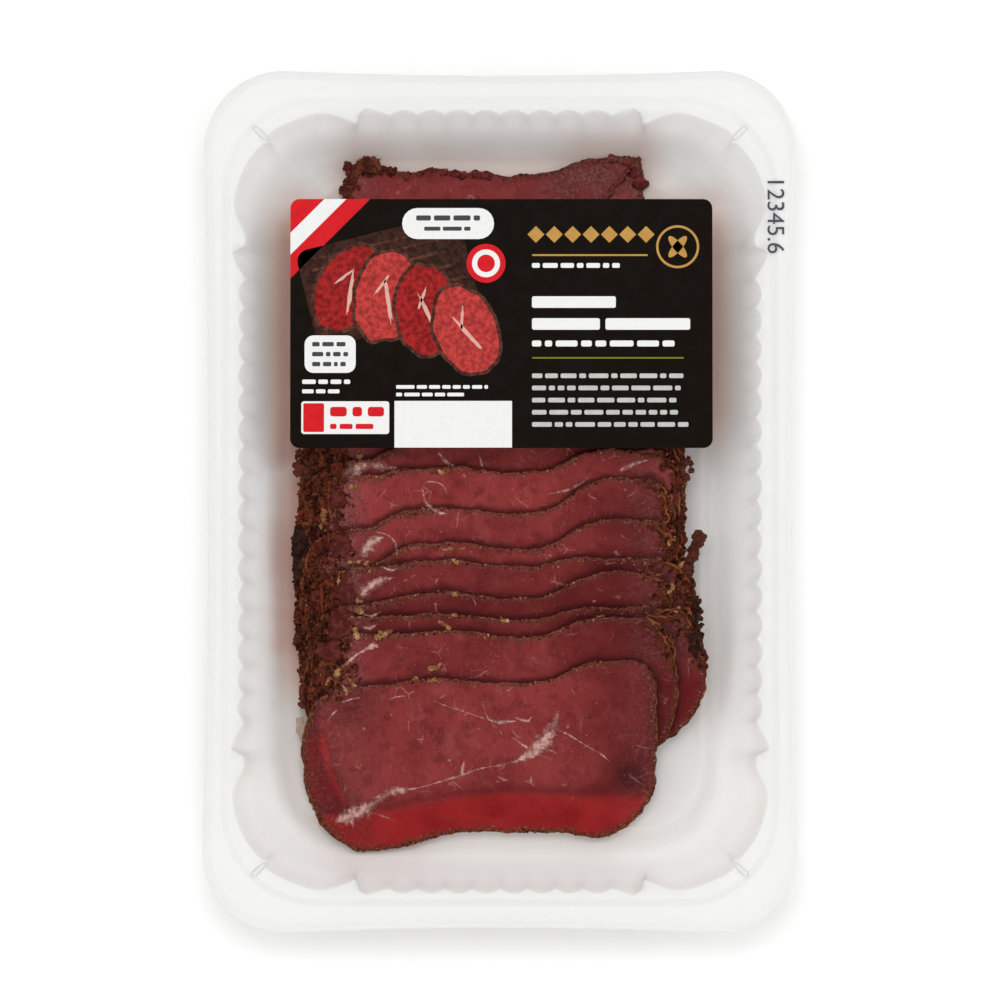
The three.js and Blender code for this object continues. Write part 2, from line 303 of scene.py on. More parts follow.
def ink(name, colour, roughness=0.36, mottle=0.88):
    """A printed colour on a coated label, mottled down to a share of its brightness."""
    material, tree, shader = new_material(name, roughness)
    place = place_mm(tree)
    darker = tuple(channel * mottle for channel in colour)
    cloud = ramp(tree, grain(tree, place, 0.8, 5.0, 0.65), 0.36, 0.64)
    tree.links.new(blend(tree, cloud, darker, colour), shader.inputs["Base Color"])
    tree.links.new(
        ramp(tree, grain(tree, place, 0.25), 0.3, 0.7, roughness - 0.05, roughness + 0.07),
        shader.inputs["Roughness"],
    )
    shader.inputs["Specular IOR Level"].default_value = 0.02
    return material


def bark_colour(tree, place):
    """The spiced brown rind: dark ground with red-brown patches, ochre grains and pale spots. It runs
    in streaks along the pack."""
    streaked = add_node(tree, "ShaderNodeMapping", warp(tree, place, 0.15, 5.0))
    streaked.inputs["Scale"].default_value = (1.0, 0.7, 1.0)
    long = streaked.outputs[0]
    ground = ramp(tree, grain(tree, long, 0.7, 5.0, 0.65), 0.40, 0.60)
    base = blend(tree, ground, (0.017, 0.0040, 0.0030), (0.155, 0.036, 0.019))
    red = ramp(tree, grain(tree, long, 0.35, 4.0), 0.52, 0.64, 0.0, 0.75)
    base = blend(tree, red, base, (0.14, 0.018, 0.012))
    ochre = ramp(tree, grain(tree, long, 1.5, 5.0, 0.7), 0.58, 0.70, 0.0, 0.75)
    grains = blend(tree, ochre, base, (0.25, 0.085, 0.030))
    pale = ramp(tree, grain(tree, place, 2.4, 3.0), 0.69, 0.77, 0.0, 0.6)
    return blend(tree, pale, grains, (0.36, 0.20, 0.12))


def flesh_colour(tree, place):
    """Dark red flesh: slow mottle, paler haze, fine grain, soft fibres and a web of thin veins."""
    shade = attribute(tree, "shade")
    cloud = ramp(tree, grain(tree, place, 0.08, 4.0), 0.32, 0.68)
    dark = blend(tree, cloud, (0.079, 0.0082, 0.0084), (0.122, 0.0148, 0.0152))
    dark = blend(tree, ramp(tree, shade, -1.0, 0.0), (0.040, 0.0045, 0.0055), dark)
    light = blend(tree, cloud, (0.195, 0.0245, 0.024), (0.278, 0.0405, 0.040))
    flesh = blend(tree, shade, dark, light)
    veil = ramp(tree, shade, 0.0, 0.7, 0.12, 1.0)
    loose = warp(tree, place, 0.12, 9.0)
    haze = ramp(tree, grain(tree, loose, 0.14, 5.0, 0.6), 0.50, 0.74, 0.0, 0.5)
    flesh = blend(tree, calculate(tree, "MULTIPLY", haze, veil), flesh, (0.28, 0.066, 0.061))
    fine = ramp(tree, grain(tree, place, 1.8, 5.0, 0.65), 0.40, 0.66, 0.0, 0.35)
    flesh = blend(tree, calculate(tree, "MULTIPLY", fine, veil), flesh, (0.255, 0.040, 0.039))
    deep = ramp(tree, grain(tree, place, 0.3, 5.0, 0.6), 0.34, 0.5, 0.4, 0.0)
    flesh = blend(tree, deep, flesh, (0.075, 0.008, 0.009))
    for turn, across in ((12.0, 1.1), (-24.0, 0.8), (68.0, 1.3)):
        mapping = add_node(tree, "ShaderNodeMapping", warp(tree, place, 0.1, 7.0))
        mapping.inputs["Rotation"].default_value = (0, 0, math.radians(turn))
        mapping.inputs["Scale"].default_value = (across, 0.1, 1.0)
        fibres = ramp(tree, grain(tree, mapping.outputs[0], 1.3, 3.0, 0.6), 0.60, 0.72, 0.0, 0.14)
        flesh = blend(tree, calculate(tree, "MULTIPLY", fibres, veil), flesh, (0.38, 0.14, 0.13))
    for scale, thickness, low, strength in ((0.10, 0.014, 0.54, 0.55), (0.22, 0.024, 0.57, 0.35)):
        lines = web(tree, warp(tree, place, 0.12, 3.0), scale, thickness)
        shown = ramp(tree, grain(tree, place, 0.2, 4.0), low, low + 0.1, 0.0, strength)
        flesh = blend(tree, calculate(tree, "MULTIPLY", lines, shown), flesh, (0.47, 0.22, 0.20))
    specks = ramp(tree, grain(tree, place, 0.5, 1.0), 0.74, 0.80, 0.0, 0.5)
    return blend(tree, specks, flesh, (0.42, 0.19, 0.16)), cloud


def cured_meat():
    """Flesh with a bark along the rim, and a clear, brighter red where one slice lies over the bare tray; that
    red is painted light, standing in for light that comes back through the thin slice from the white tray.
    Attributes: rim is the distance from the rim, crust the bark's width and gap the distance to the
    next slice's rim, all in millimetres; alone is 1 over the bare tray, shade is the lightness, and dust
    is how much fine spice lies away from the rim. The gap sets a painted shade beside the next slice's rim."""
    material, tree, shader = new_material("cured_meat", 0.45)
    place = place_mm(tree)
    rim = attribute(tree, "rim")
    crust = attribute(tree, "crust")
    alone = attribute(tree, "alone")
    flesh, cloud = flesh_colour(tree, place)
    # painted light: the brighter clear red where a slice lies alone over the white tray stands in for light
    # that comes back through the slice; it is darker where the shade attribute is low
    painted_through_light_red = blend(tree, cloud, (0.19, 0.006, 0.007), (0.28, 0.0145, 0.0145))
    fine = ramp(tree, grain(tree, place, 2.4, 5.0, 0.65), 0.4, 0.66, 0.0, 0.35)
    painted_through_light_red = blend(tree, fine, painted_through_light_red, (0.26, 0.027, 0.026))
    murk = ramp(tree, attribute(tree, "shade"), -0.9, 0.4)
    painted_through_light_red = blend(tree, murk, (0.090, 0.0075, 0.0095), painted_through_light_red)
    flesh = blend(tree, alone, flesh, painted_through_light_red)
    # painted shade: a dark purple band along the edge of the through-lit red, where the slice beneath begins
    painted_edge_shade = calculate(tree, "MULTIPLY", ramp(tree, alone, 0.0, 0.25), ramp(tree, alone, 0.3, 0.8, 0.4, 0.0))
    flesh = blend(tree, painted_edge_shade, flesh, (0.075, 0.010, 0.014))

    # painted shade: a dark line on this slice beside the next slice's rim, for the shade in the crevice under
    # it
    uneven = ramp(tree, grain(tree, place, 0.16, 4.0), 0.36, 0.62, 0.35, 1.0)
    reach = calculate(tree, "DIVIDE", attribute(tree, "gap"), uneven)
    painted_crevice_shade = ramp(tree, reach, 0.1, 2.6, 0.75, 0.0)
    flesh = blend(tree, painted_crevice_shade, flesh, (0.045, 0.007, 0.008))

    # grey-brown dusting that fades from the rim into the flesh, and the solid bark outside it
    ragged = ramp(tree, grain(tree, place, 0.35, 5.0, 0.65), 0.3, 0.7, 0.2, 1.5)
    width = calculate(tree, "MULTIPLY", crust, ragged)
    inside = calculate(tree, "SUBTRACT", rim, width)
    dusted = ramp(tree, inside, -0.8, 1.3, 1.0, 0.0)
    patches = ramp(tree, grain(tree, place, 1.2, 5.0, 0.7), 0.35, 0.60, 0.35, 0.95)
    loose = ramp(tree, grain(tree, place, 0.8, 5.0, 0.7), 0.38, 0.62, 0.15, 1.0)
    spread = calculate(tree, "MULTIPLY", attribute(tree, "dust"), loose)
    speckle = ramp(tree, grain(tree, place, 1.7, 4.0), 0.38, 0.66)
    flesh = blend(tree, spread, flesh, blend(tree, speckle, (0.085, 0.031, 0.030), (0.21, 0.105, 0.098)))
    dust = calculate(tree, "MULTIPLY", dusted, patches)
    flesh = blend(tree, dust, flesh, blend(tree, speckle, (0.045, 0.013, 0.009), (0.17, 0.066, 0.044)))
    broad = ramp(tree, crust, 1.2, 2.6)
    bark = calculate(tree, "MULTIPLY", ramp(tree, inside, -0.3, 0.35, 1.0, 0.0), broad)
    thread = calculate(
        tree, "MULTIPLY", ramp(tree, rim, 0.05, 0.4, 1.0, 0.0),
        ramp(tree, grain(tree, place, 0.7, 5.0, 0.7), 0.50, 0.66, 0.0, 0.8),
    )
    surface = blend(tree, bark, flesh, bark_colour(tree, place))
    surface = blend(tree, thread, surface, (0.27, 0.12, 0.055))
    tree.links.new(surface, shader.inputs["Base Color"])
    tree.links.new(ramp(tree, bark, 0.0, 1.0, 0.42, 0.8), shader.inputs["Roughness"])
    shader.inputs["Specular IOR Level"].default_value = 0.04
    relief = calculate(tree, "MULTIPLY", grain(tree, place, 1.0, 5.0, 0.65), 0.45)
    crags = calculate(tree, "MULTIPLY", grain(tree, place, 1.4, 5.0, 0.75), bark)
    bump(tree, shader, calculate(tree, "ADD", relief, calculate(tree, "MULTIPLY", crags, 2.5)), 0.7, 0.5)
    return material


def fat_material():
    """Pale fat with a feathered, broken edge; it is clear where its attribute runs out."""
    material, tree, shader = new_material("fat", 0.45)
    place = place_mm(tree)
    cloud = ramp(tree, grain(tree, place, 0.9, 4.0), 0.30, 0.58)
    tone = blend(tree, cloud, (0.32, 0.115, 0.10), (0.58, 0.35, 0.305))
    tree.links.new(tone, shader.inputs["Base Color"])
    torn = calculate(tree, "SUBTRACT", grain(tree, warp(tree, place, 0.8, 1.5), 1.1, 5.0, 0.65), 0.5)
    full = calculate(tree, "ADD", attribute(tree, "fat"), calculate(tree, "MULTIPLY", torn, 1.7))
    patchy = ramp(tree, grain(tree, place, 0.3, 3.0), 0.38, 0.56, 0.3, 1.0)
    shown = calculate(tree, "MULTIPLY", ramp(tree, full, 0.1, 1.0, 0.0, 0.9), patchy)
    tree.links.new(shown, shader.inputs["Alpha"])
    shader.inputs["Specular IOR Level"].default_value = 0.05
    return material


def rind_material(name, dark, light, share=0.5):
    """Loose bark. Its tone attribute runs from 0, dark, to 1, light, and bark's own colours mix in by a
    share."""
    material, tree, shader = new_material(name, 0.75)
    place = place_mm(tree)
    own = blend(tree, attribute(tree, "tone"), dark, light)
    mixed = ramp(tree, grain(tree, place, 1.1, 4.0, 0.65), 0.40, 0.62, 0.0, 2 * share)
    tree.links.new(blend(tree, mixed, own, bark_colour(tree, place)), shader.inputs["Base Color"])
    shader.inputs["Specular IOR Level"].default_value = 0.04
    bump(tree, shader, grain(tree, place, 2.4, 5.0, 0.7), 0.8, 0.5)
    return material


def spice_material():
    """Tan and ochre spice grains with darker husks; the tone attribute makes some of them brown."""
    material, tree, shader = new_material("spice_grain", 0.6)
    place = place_mm(tree)
    mottle = ramp(tree, grain(tree, place, 0.9, 4.0), 0.38, 0.64)
    tan = blend(tree, mottle, (0.33, 0.12, 0.036), (0.60, 0.34, 0.16))
    tone = blend(tree, attribute(tree, "tone"), (0.22, 0.068, 0.024), tan)
    husk = ramp(tree, grain(tree, place, 2.2, 4.0, 0.7), 0.50, 0.62, 0.0, 0.9)
    tree.links.new(blend(tree, husk, tone, (0.16, 0.050, 0.018)), shader.inputs["Base Color"])
    shader.inputs["Specular IOR Level"].default_value = 0.2
    bump(tree, shader, grain(tree, place, 2.8, 4.0), 0.9, 0.5)
    return material


def lobe_material(name, dark, light):
    """Dark flesh under a thin dusting."""
    material, tree, shader = new_material(name, 0.5)
    place = place_mm(tree)
    flesh = blend(tree, ramp(tree, grain(tree, place, 0.5, 4.0), 0.38, 0.64), dark, light)
    dusting = ramp(tree, grain(tree, place, 1.3, 5.0, 0.7), 0.48, 0.66, 0.0, 0.8)
    tree.links.new(blend(tree, dusting, flesh, bark_colour(tree, place)), shader.inputs["Base Color"])
    shader.inputs["Specular IOR Level"].default_value = 0.05
    bump(tree, shader, grain(tree, place, 1.6, 5.0, 0.7), 0.6, 0.4)
    return material


def pale_floor():
    material, _, shader = new_material("pale_floor", 0.9, (0.98, 0.98, 0.98))
    shader.inputs["Specular IOR Level"].default_value = 0.0
    return material


# Shaping


def object_from(name, shape, material, smooth_faces=True):
    """Makes an object at the origin from a bmesh in metres."""
    mesh = bpy.data.meshes.new(name)
    shape.to_mesh(mesh)
    shape.free()
    for face in mesh.polygons:
        face.use_smooth = smooth_faces
    mesh.materials.append(material)
    piece = bpy.data.objects.new(name, mesh)
    bpy.context.scene.collection.objects.link(piece)
    return piece


def fit_piece(piece, slot, *nodes):
    """Hides the nodes that a piece stands for and ties the piece to the pack's body."""
    if nodes:
        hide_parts(*nodes)
    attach(piece, "root")
    return piece


def start_run(shape, places, closed=True):
    """A run of new vertices and edges at these places, closed to a loop or open."""
    run = [shape.verts.new(Vector(place) * MM) for place in places]
    for vertex, after in zip(run, run[1:] + run[:1] if closed else run[1:]):
        shape.edges.new((vertex, after))
    return run


def grow_run(shape, run, places, closed=True):
    """Extrudes a run of vertices and puts the new run at these places."""
    pairs = zip(run, run[1:] + run[:1] if closed else run[1:])
    edges = [shape.edges.get(pair) for pair in pairs]
    made = bmesh.ops.extrude_edge_only(shape, edges=edges)["geom"]
    new = {item for item in made if isinstance(item, bmesh.types.BMVert)}
    grown = [next(e.other_vert(v) for e in v.link_edges if e.other_vert(v) in new) for v in run]
    for vertex, place in zip(grown, places):
        vertex.co = Vector(place) * MM
    return grown


def face_upwards(shape):
    bmesh.ops.recalc_face_normals(shape, faces=shape.faces)
    if sum(face.normal.z * face.calc_area() for face in shape.faces) < 0:
        bmesh.ops.reverse_faces(shape, faces=shape.faces)


def add_wall(piece, thickness):
    wall = piece.modifiers.new("wall", "SOLIDIFY")
    wall.thickness = thickness * MM
    wall.offset = -1.0


def spline(points, steps):
    """Catmull-Rom points through an open run of points, without the last one."""
    run = [points[0], *points, points[-1]]
    found = []
    for a, b, c, d in zip(run, run[1:], run[2:], run[3:]):
        for i in range(steps):
            t = i / steps
            found.append(tuple(
                0.5 * (2 * q + (r - p) * t + (2 * p - 5 * q + 4 * r - s) * t * t
                       + (3 * q - p - 3 * r + s) * t ** 3)
                for p, q, r, s in zip(a, b, c, d)
            ))
    return found


def plate(shape, outline, low, high):
    """Adds a flat plate with an outline, between two heights."""
    face = shape.faces.new([shape.verts.new((x * MM, y * MM, low * MM)) for x, y in outline])
    made = bmesh.ops.extrude_face_region(shape, geom=[face])["geom"]
    top = [item for item in made if isinstance(item, bmesh.types.BMVert)]
    bmesh.ops.translate(shape, verts=top, vec=(0, 0, (high - low) * MM))


def plates_object(name, outlines, low, high, material):
    shape = bmesh.new()
    for outline in outlines:
        plate(shape, outline, low, high)
    bmesh.ops.recalc_face_normals(shape, faces=shape.faces)
    return object_from(name, shape, material, smooth_faces=False)


# Tray


def flute(count, cusp, bulge, pitch, peak):
    """Half a side of scallops as (reach, run) pairs; the last one climbs to the corner's notch."""
    points = []
    for i in range(count):
        for j in range(FLUTE_STEPS):
            u = j / FLUTE_STEPS
            last = i == count - 1
            reach = mix(cusp, peak, smooth(u) ** 0.8) if last else mix(cusp, bulge, math.sin(math.pi * u))
            points.append((float(reach), (i + u) * pitch))
    return points


def fluted_quarter():
    """The cavity's edge from the X axis to the Y axis: scallops, the corner's two lobes, scallops."""
    points = flute(SIDE_FLUTES, SIDE_CUSP, SIDE_BULGE, SIDE_PITCH, CORNER_LOBE[0][0])
    points += [tuple(mix(a, b, i / 3) for a, b in zip(*CORNER_LOBE[:2])) for i in range(3)]
    points += spline(CORNER_LOBE[1:8], LOBE_STEPS)
    points += spline(CORNER_LOBE[7:12], LOBE_STEPS)
    points += [tuple(mix(a, b, i / 3) for a, b in zip(*CORNER_LOBE[11:13])) for i in range(3)]
    end = flute(END_FLUTES, END_CUSP, END_BULGE, END_PITCH, CORNER_LOBE[-1][1])
    points += [(run, reach) for reach, run in reversed(end)]
    return points


def nearest_on(point, outline):
    """The nearest point on a rounded rectangle, and the outward direction there."""
    half_x, half_y, radius = outline
    base = Vector((min(point[0], half_x - radius), min(point[1], half_y - radius)))
    outward = (Vector(point) - base).normalized()
    return base + outward * radius, outward


def quarter_share(point, outline):
    """How far along the quarter of a rounded rectangle a point lies, from 0 to 1."""
    half_x, half_y, radius = outline
    side, end, turn = half_y - radius, half_x - radius, radius * math.pi / 2
    place, outward = nearest_on(point, outline)
    if place.y < side:
        run = place.y
    elif place.x < end:
        run = side + turn + end - place.x
    else:
        run = side + radius * math.atan2(outward.y, outward.x)
    return run / (side + turn + end)


def point_at(share, outline, bow=0.0):
    """The point of a rounded rectangle's quarter at a share of its length, with drawn-in sides."""
    half_x, half_y, radius = outline
    side, end, turn = half_y - radius, half_x - radius, radius * math.pi / 2
    run = share * (side + turn + end)
    if run <= side:
        return half_x - bow * (1 - (run / side) ** 2), run
    if run < side + turn:
        angle = (run - side) / radius
        return end + radius * math.cos(angle), side + radius * math.sin(angle)
    along = max(side + turn + end - run, 0.0)
    return along, half_y - bow * (1 - (along / end) ** 2)


def mirrored(quarter, z):
    """A full ring from its first quarter."""
    left = [(-x, y) for x, y in quarter[-2::-1]]
    upper = [*quarter, *left]
    lower = [(x, -y) for x, y in upper[-2:0:-1]]
    return [(x, y, z) for x, y in [*upper, *lower]]


def bezier(t, *values):
    a, b, c, d = values
    return (1 - t) ** 3 * a + 3 * (1 - t) ** 2 * t * b + 3 * (1 - t) * t * t * c + t ** 3 * d


def calmed(quarter):
    """A quarter's edge after a moving average over its flutes, as if it went on into its mirror image."""
    before = [(x, -y) for x, y in quarter[CALM_SPAN:0:-1]]
    after = [(-x, y) for x, y in quarter[-2:-2 - CALM_SPAN:-1]]
    run = np.array([*before, *quarter, *after])
    return [Vector(run[i:i + 2 * CALM_SPAN + 1].mean(axis=0)) for i in range(len(quarter))]


def tray_rings():
    """Rings from the floor panel outwards, up the fluted wall, over the flange and round its lip."""
    edge = fluted_quarter()
    calm = calmed(edge)
    shares = [quarter_share(point, BACKBONE) for point in edge]
    feet = [nearest_on(point, FOOT) for point in edge]

    def plain(outline, grow, z, bow=0.0):
        half_x, half_y, radius = outline
        grown = (half_x + grow, half_y + grow, radius + grow)
        return mirrored([point_at(share, grown, bow) for share in shares], z)

    def near(outline, grow, z):
        half_x, half_y, radius = outline
        grown = (half_x + grow, half_y + grow, radius + grow)
        return mirrored([tuple(nearest_on(point, grown)[0]) for point in edge], z)

    def wall(t):
        run = bezier(t, 0.0, WALL_BEND[0], WALL_TOE[0], WALL_RUN)
        z = bezier(t, LEDGE_Z - FLOOR, WALL_BEND[1], WALL_TOE[1], 0.0)
        calmness = CALMNESS * smooth((LEDGE_Z - FLOOR - z) / CALM_DEPTH)
        starts = [Vector(p).lerp(q, calmness) for p, q in zip(edge, calm)]
        flat = [tuple(start.lerp(foot, run / WALL_RUN)) for start, (foot, _) in zip(starts, feet)]
        return mirrored(flat, FLOOR + z)

    def brink(grow, z):
        return mirrored([tuple(Vector(p) + out * grow) for p, (_, out) in zip(edge, feet)], z)

    panel_z = FLOOR + PANEL_RISE
    rings = [near(PANEL, grow, z) for grow, z in (
        (-1.6, panel_z), (-0.6, panel_z - 0.1), (0.0, panel_z - 0.32), (0.5, panel_z - 0.6),
        (1.2, FLOOR + 0.12), (2.0, FLOOR),
    )]
    rings += [wall(1 - i / WALL_RINGS) for i in range(WALL_RINGS)]
    rings += [brink(grow, LEDGE_Z - drop) for grow, drop in ((0.1, 0.22), (0.25, 0.06), (0.45, 0.0))]
    rings += [plain(LEDGE, grow, z) for grow, z in (
        (-0.1, LEDGE_Z), (0.3, LEDGE_Z + 0.12), (1.2, TRAY_HEIGHT - 0.5), (1.9, TRAY_HEIGHT - 0.1),
        (2.3, TRAY_HEIGHT),
    )]
    rings += [plain(FLANGE, -inset, TRAY_HEIGHT - drop, FLANGE_BOW) for inset, drop in (
        (2.5, 0.0), (2.05, 0.04), (1.75, 0.2), (1.4, 0.25), (0.7, 0.35), (0.25, 0.6), (0.04, 1.0),
        (0.0, 1.6), (0.0, 2.8),
    )]
    return rings


def make_tray(plastic, outside, slices):
    rings = tray_rings()
    shape = bmesh.new()
    layers = {name: shape.verts.layers.float.new(name) for name in ("cavity", "deep", "painted_reflection_and_shadow")}
    loop = start_run(shape, rings[0])
    inner = loop
    for ring in rings[1:]:
        loop = grow_run(shape, loop, ring)
    shape.faces.new(inner)
    # painted reflection and shadow: the white takes the meat's colour near the slices and near the label,
    # whose shadow is painted in with it; strongest on the left and right walls and at the ends, fading with
    # distance outside them and none at the ledge
    flat = np.array([vertex.co[:2] for vertex in shape.verts]) / MM
    low, high = (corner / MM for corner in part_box("label"))
    label = np.array([(low.x, low.y), (high.x, low.y), (high.x, high.y), (low.x, high.y)])
    near = [item.rim[::8] for item in slices] + [label]
    covered = np.max([depth_inside(flat, outline) for outline in near], axis=0)
    x, y = flat[:, 0], flat[:, 1]
    left = smooth((-25 - x) / 15) * (0.3 + 0.7 * smooth((y + 60) / 25))
    right = smooth((x - 25) / 15) * (0.15 + 0.6 * smooth((y - 6) / 20))
    ends = 0.25 + 0.3 * smooth((y - 70) / 10)
    strength = np.maximum(ends, np.maximum(left, right) * smooth((84 - y) / 16))
    for vertex, depth, painted_share in zip(shape.verts, covered, strength):
        # cavity and deep place the painted light and shade of the white; the last value is the painted
        # reflection and shadow of the meat
        sunk = LEDGE_Z - vertex.co.z / MM
        vertex[layers["cavity"]] = float(smooth(sunk / 0.3))
        vertex[layers["deep"]] = float(smooth(sunk / 9) * (1 - 0.4 * smooth((sunk - 19) / 3)))
        vertex[layers["painted_reflection_and_shadow"]] = float(painted_share * smooth(1 + depth / PAINTED_REFLECTION_REACH) * smooth(sunk / 8))
    face_upwards(shape)
    tray = object_from("tray_sheet", shape, plastic)
    add_wall(tray, WALL)
    tray.data.materials.append(outside)
    tray.modifiers["wall"].material_offset = 1
    fit_piece(tray, "tray", "tray")


def make_ribs(plastic):
    """A short rounded rib across the ledge at each corner."""
    x, y, half_length, half_width = RIB
    shape = bmesh.new()
    for sx in (-1, 1):
        for sy in (-1, 1):
            lie = Matrix.Translation(Vector((sx * x, sy * y, LEDGE_Z + 0.05)) * MM)
            turn = Matrix.Rotation(math.atan2(sy * 3.75, sx * 4.0), 4, "Z")
            scale = Matrix.Diagonal((half_length * MM, half_width * MM, 0.5 * MM, 1))
            bmesh.ops.create_uvsphere(shape, u_segments=24, v_segments=12, radius=1, matrix=lie @ turn @ scale)
    fit_piece(object_from("tray_ribs", shape, plastic), "tray")


# Film, label and print


def bar(x, y, half_x, half_y, radius=0.3, turn=0.0):
    """A rounded rectangle's outline."""
    steps = 5
    places = []
    for k, (sx, sy) in enumerate(((1, 1), (-1, 1), (-1, -1), (1, -1))):
        for i in range(steps + 1):
            angle = math.pi / 2 * (k + i / steps)
            corner = Vector((sx * (half_x - radius), sy * (half_y - radius)))
            corner += Vector((math.cos(angle), math.sin(angle))) * radius
            corner.rotate(Matrix.Rotation(math.radians(turn), 2))
            places.append((x + corner.x, y + corner.y))
    return places


def oval(x, y, half_x, half_y, turn=0.0, steps=48, ragged=0.0, seed=0):
    """An ellipse's outline; ragged moves its edge in and out by up to that share."""
    places = []
    for i in range(steps):
        angle = math.tau * i / steps
        reach = 1 + ragged * noise.noise(Vector((2.2 * math.cos(angle), 2.2 * math.sin(angle), seed)))
        point = Vector((half_x * reach * math.cos(angle), half_y * reach * math.sin(angle)))
        point.rotate(Matrix.Rotation(math.radians(turn), 2))
        places.append((x + point.x, y + point.y))
    return places


def word_row(left, right, y, height, draw, longest=5.0):
    """A row of plain bars, as long as words are, from a left end to about a right end."""
    bars = []
    x = left
    while x < right - height:
        length = min(draw.uniform(0.3, 1.0) * longest, right - x)
        bars.append(bar(x + length / 2, y, length / 2, height / 2, min(height, length) * 0.3))
        x += length + height * 0.6
    return bars


def make_film(film):
    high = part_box("film")[1] / MM
    half = (high.x, high.y, FLANGE[2] - 1.2)
    ring = mirrored([point_at(i / 60, half, FLANGE_BOW) for i in range(61)], 0.0)
    outline = [(x, y) for x, y, _ in ring]
    fit_piece(plates_object("film_sheet", [outline], high.z - 0.08, high.z, film), "film", "film")


def make_digits(dark):
    """A plain row of digits, stamped along the right flange so that it reads downwards."""
    size = 6.1
    curve = bpy.data.curves.new("digits", "FONT")
    curve.body = "12345.6"
    curve.size = size * MM
    text = bpy.data.objects.new("digits", curve)
    bpy.context.scene.collection.objects.link(text)
    bpy.context.view_layer.update()
    flat = bpy.data.meshes.new_from_object(text)
    bpy.data.objects.remove(text)
    shape = bmesh.new()
    shape.from_mesh(flat)
    bpy.data.meshes.remove(flat)
    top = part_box("film")[1].z + 0.02 * MM
    place = Matrix.Translation((67.05 * MM, 81.3 * MM, top)) @ Matrix.Rotation(-math.pi / 2, 4, "Z")
    bmesh.ops.transform(shape, matrix=place, verts=shape.verts)
    face_upwards(shape)
    stamp = object_from("digits_stamp", shape, dark, smooth_faces=False)
    add_wall(stamp, 0.015)
    fit_piece(stamp, "film")


def print_layer(name, outlines, level, material):
    """One colour of the print, a hair above the layer below it."""
    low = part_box("label")[1].z / MM + 0.008 + 0.02 * level
    fit_piece(plates_object(f"print_{name}", outlines, low, low + 0.012, material), "label")


def corner_stripe(near, far):
    """A diagonal stripe across the label's upper left corner, between two distances along its edges.
    The stripe from 0 fills the rounded corner."""
    left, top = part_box("label")[0].x / MM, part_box("label")[1].y / MM
    if near:
        inner = [(left + near, top), (left, top - near)]
    else:
        steps = [math.pi / 2 * (1 + i / 6) for i in range(7)]
        inner = [
            (left + LABEL_CORNER * (1 + math.cos(turn)), top - LABEL_CORNER * (1 - math.sin(turn)))
            for turn in steps
        ]
    return [*inner, (left, top - far), (left + far, top)]


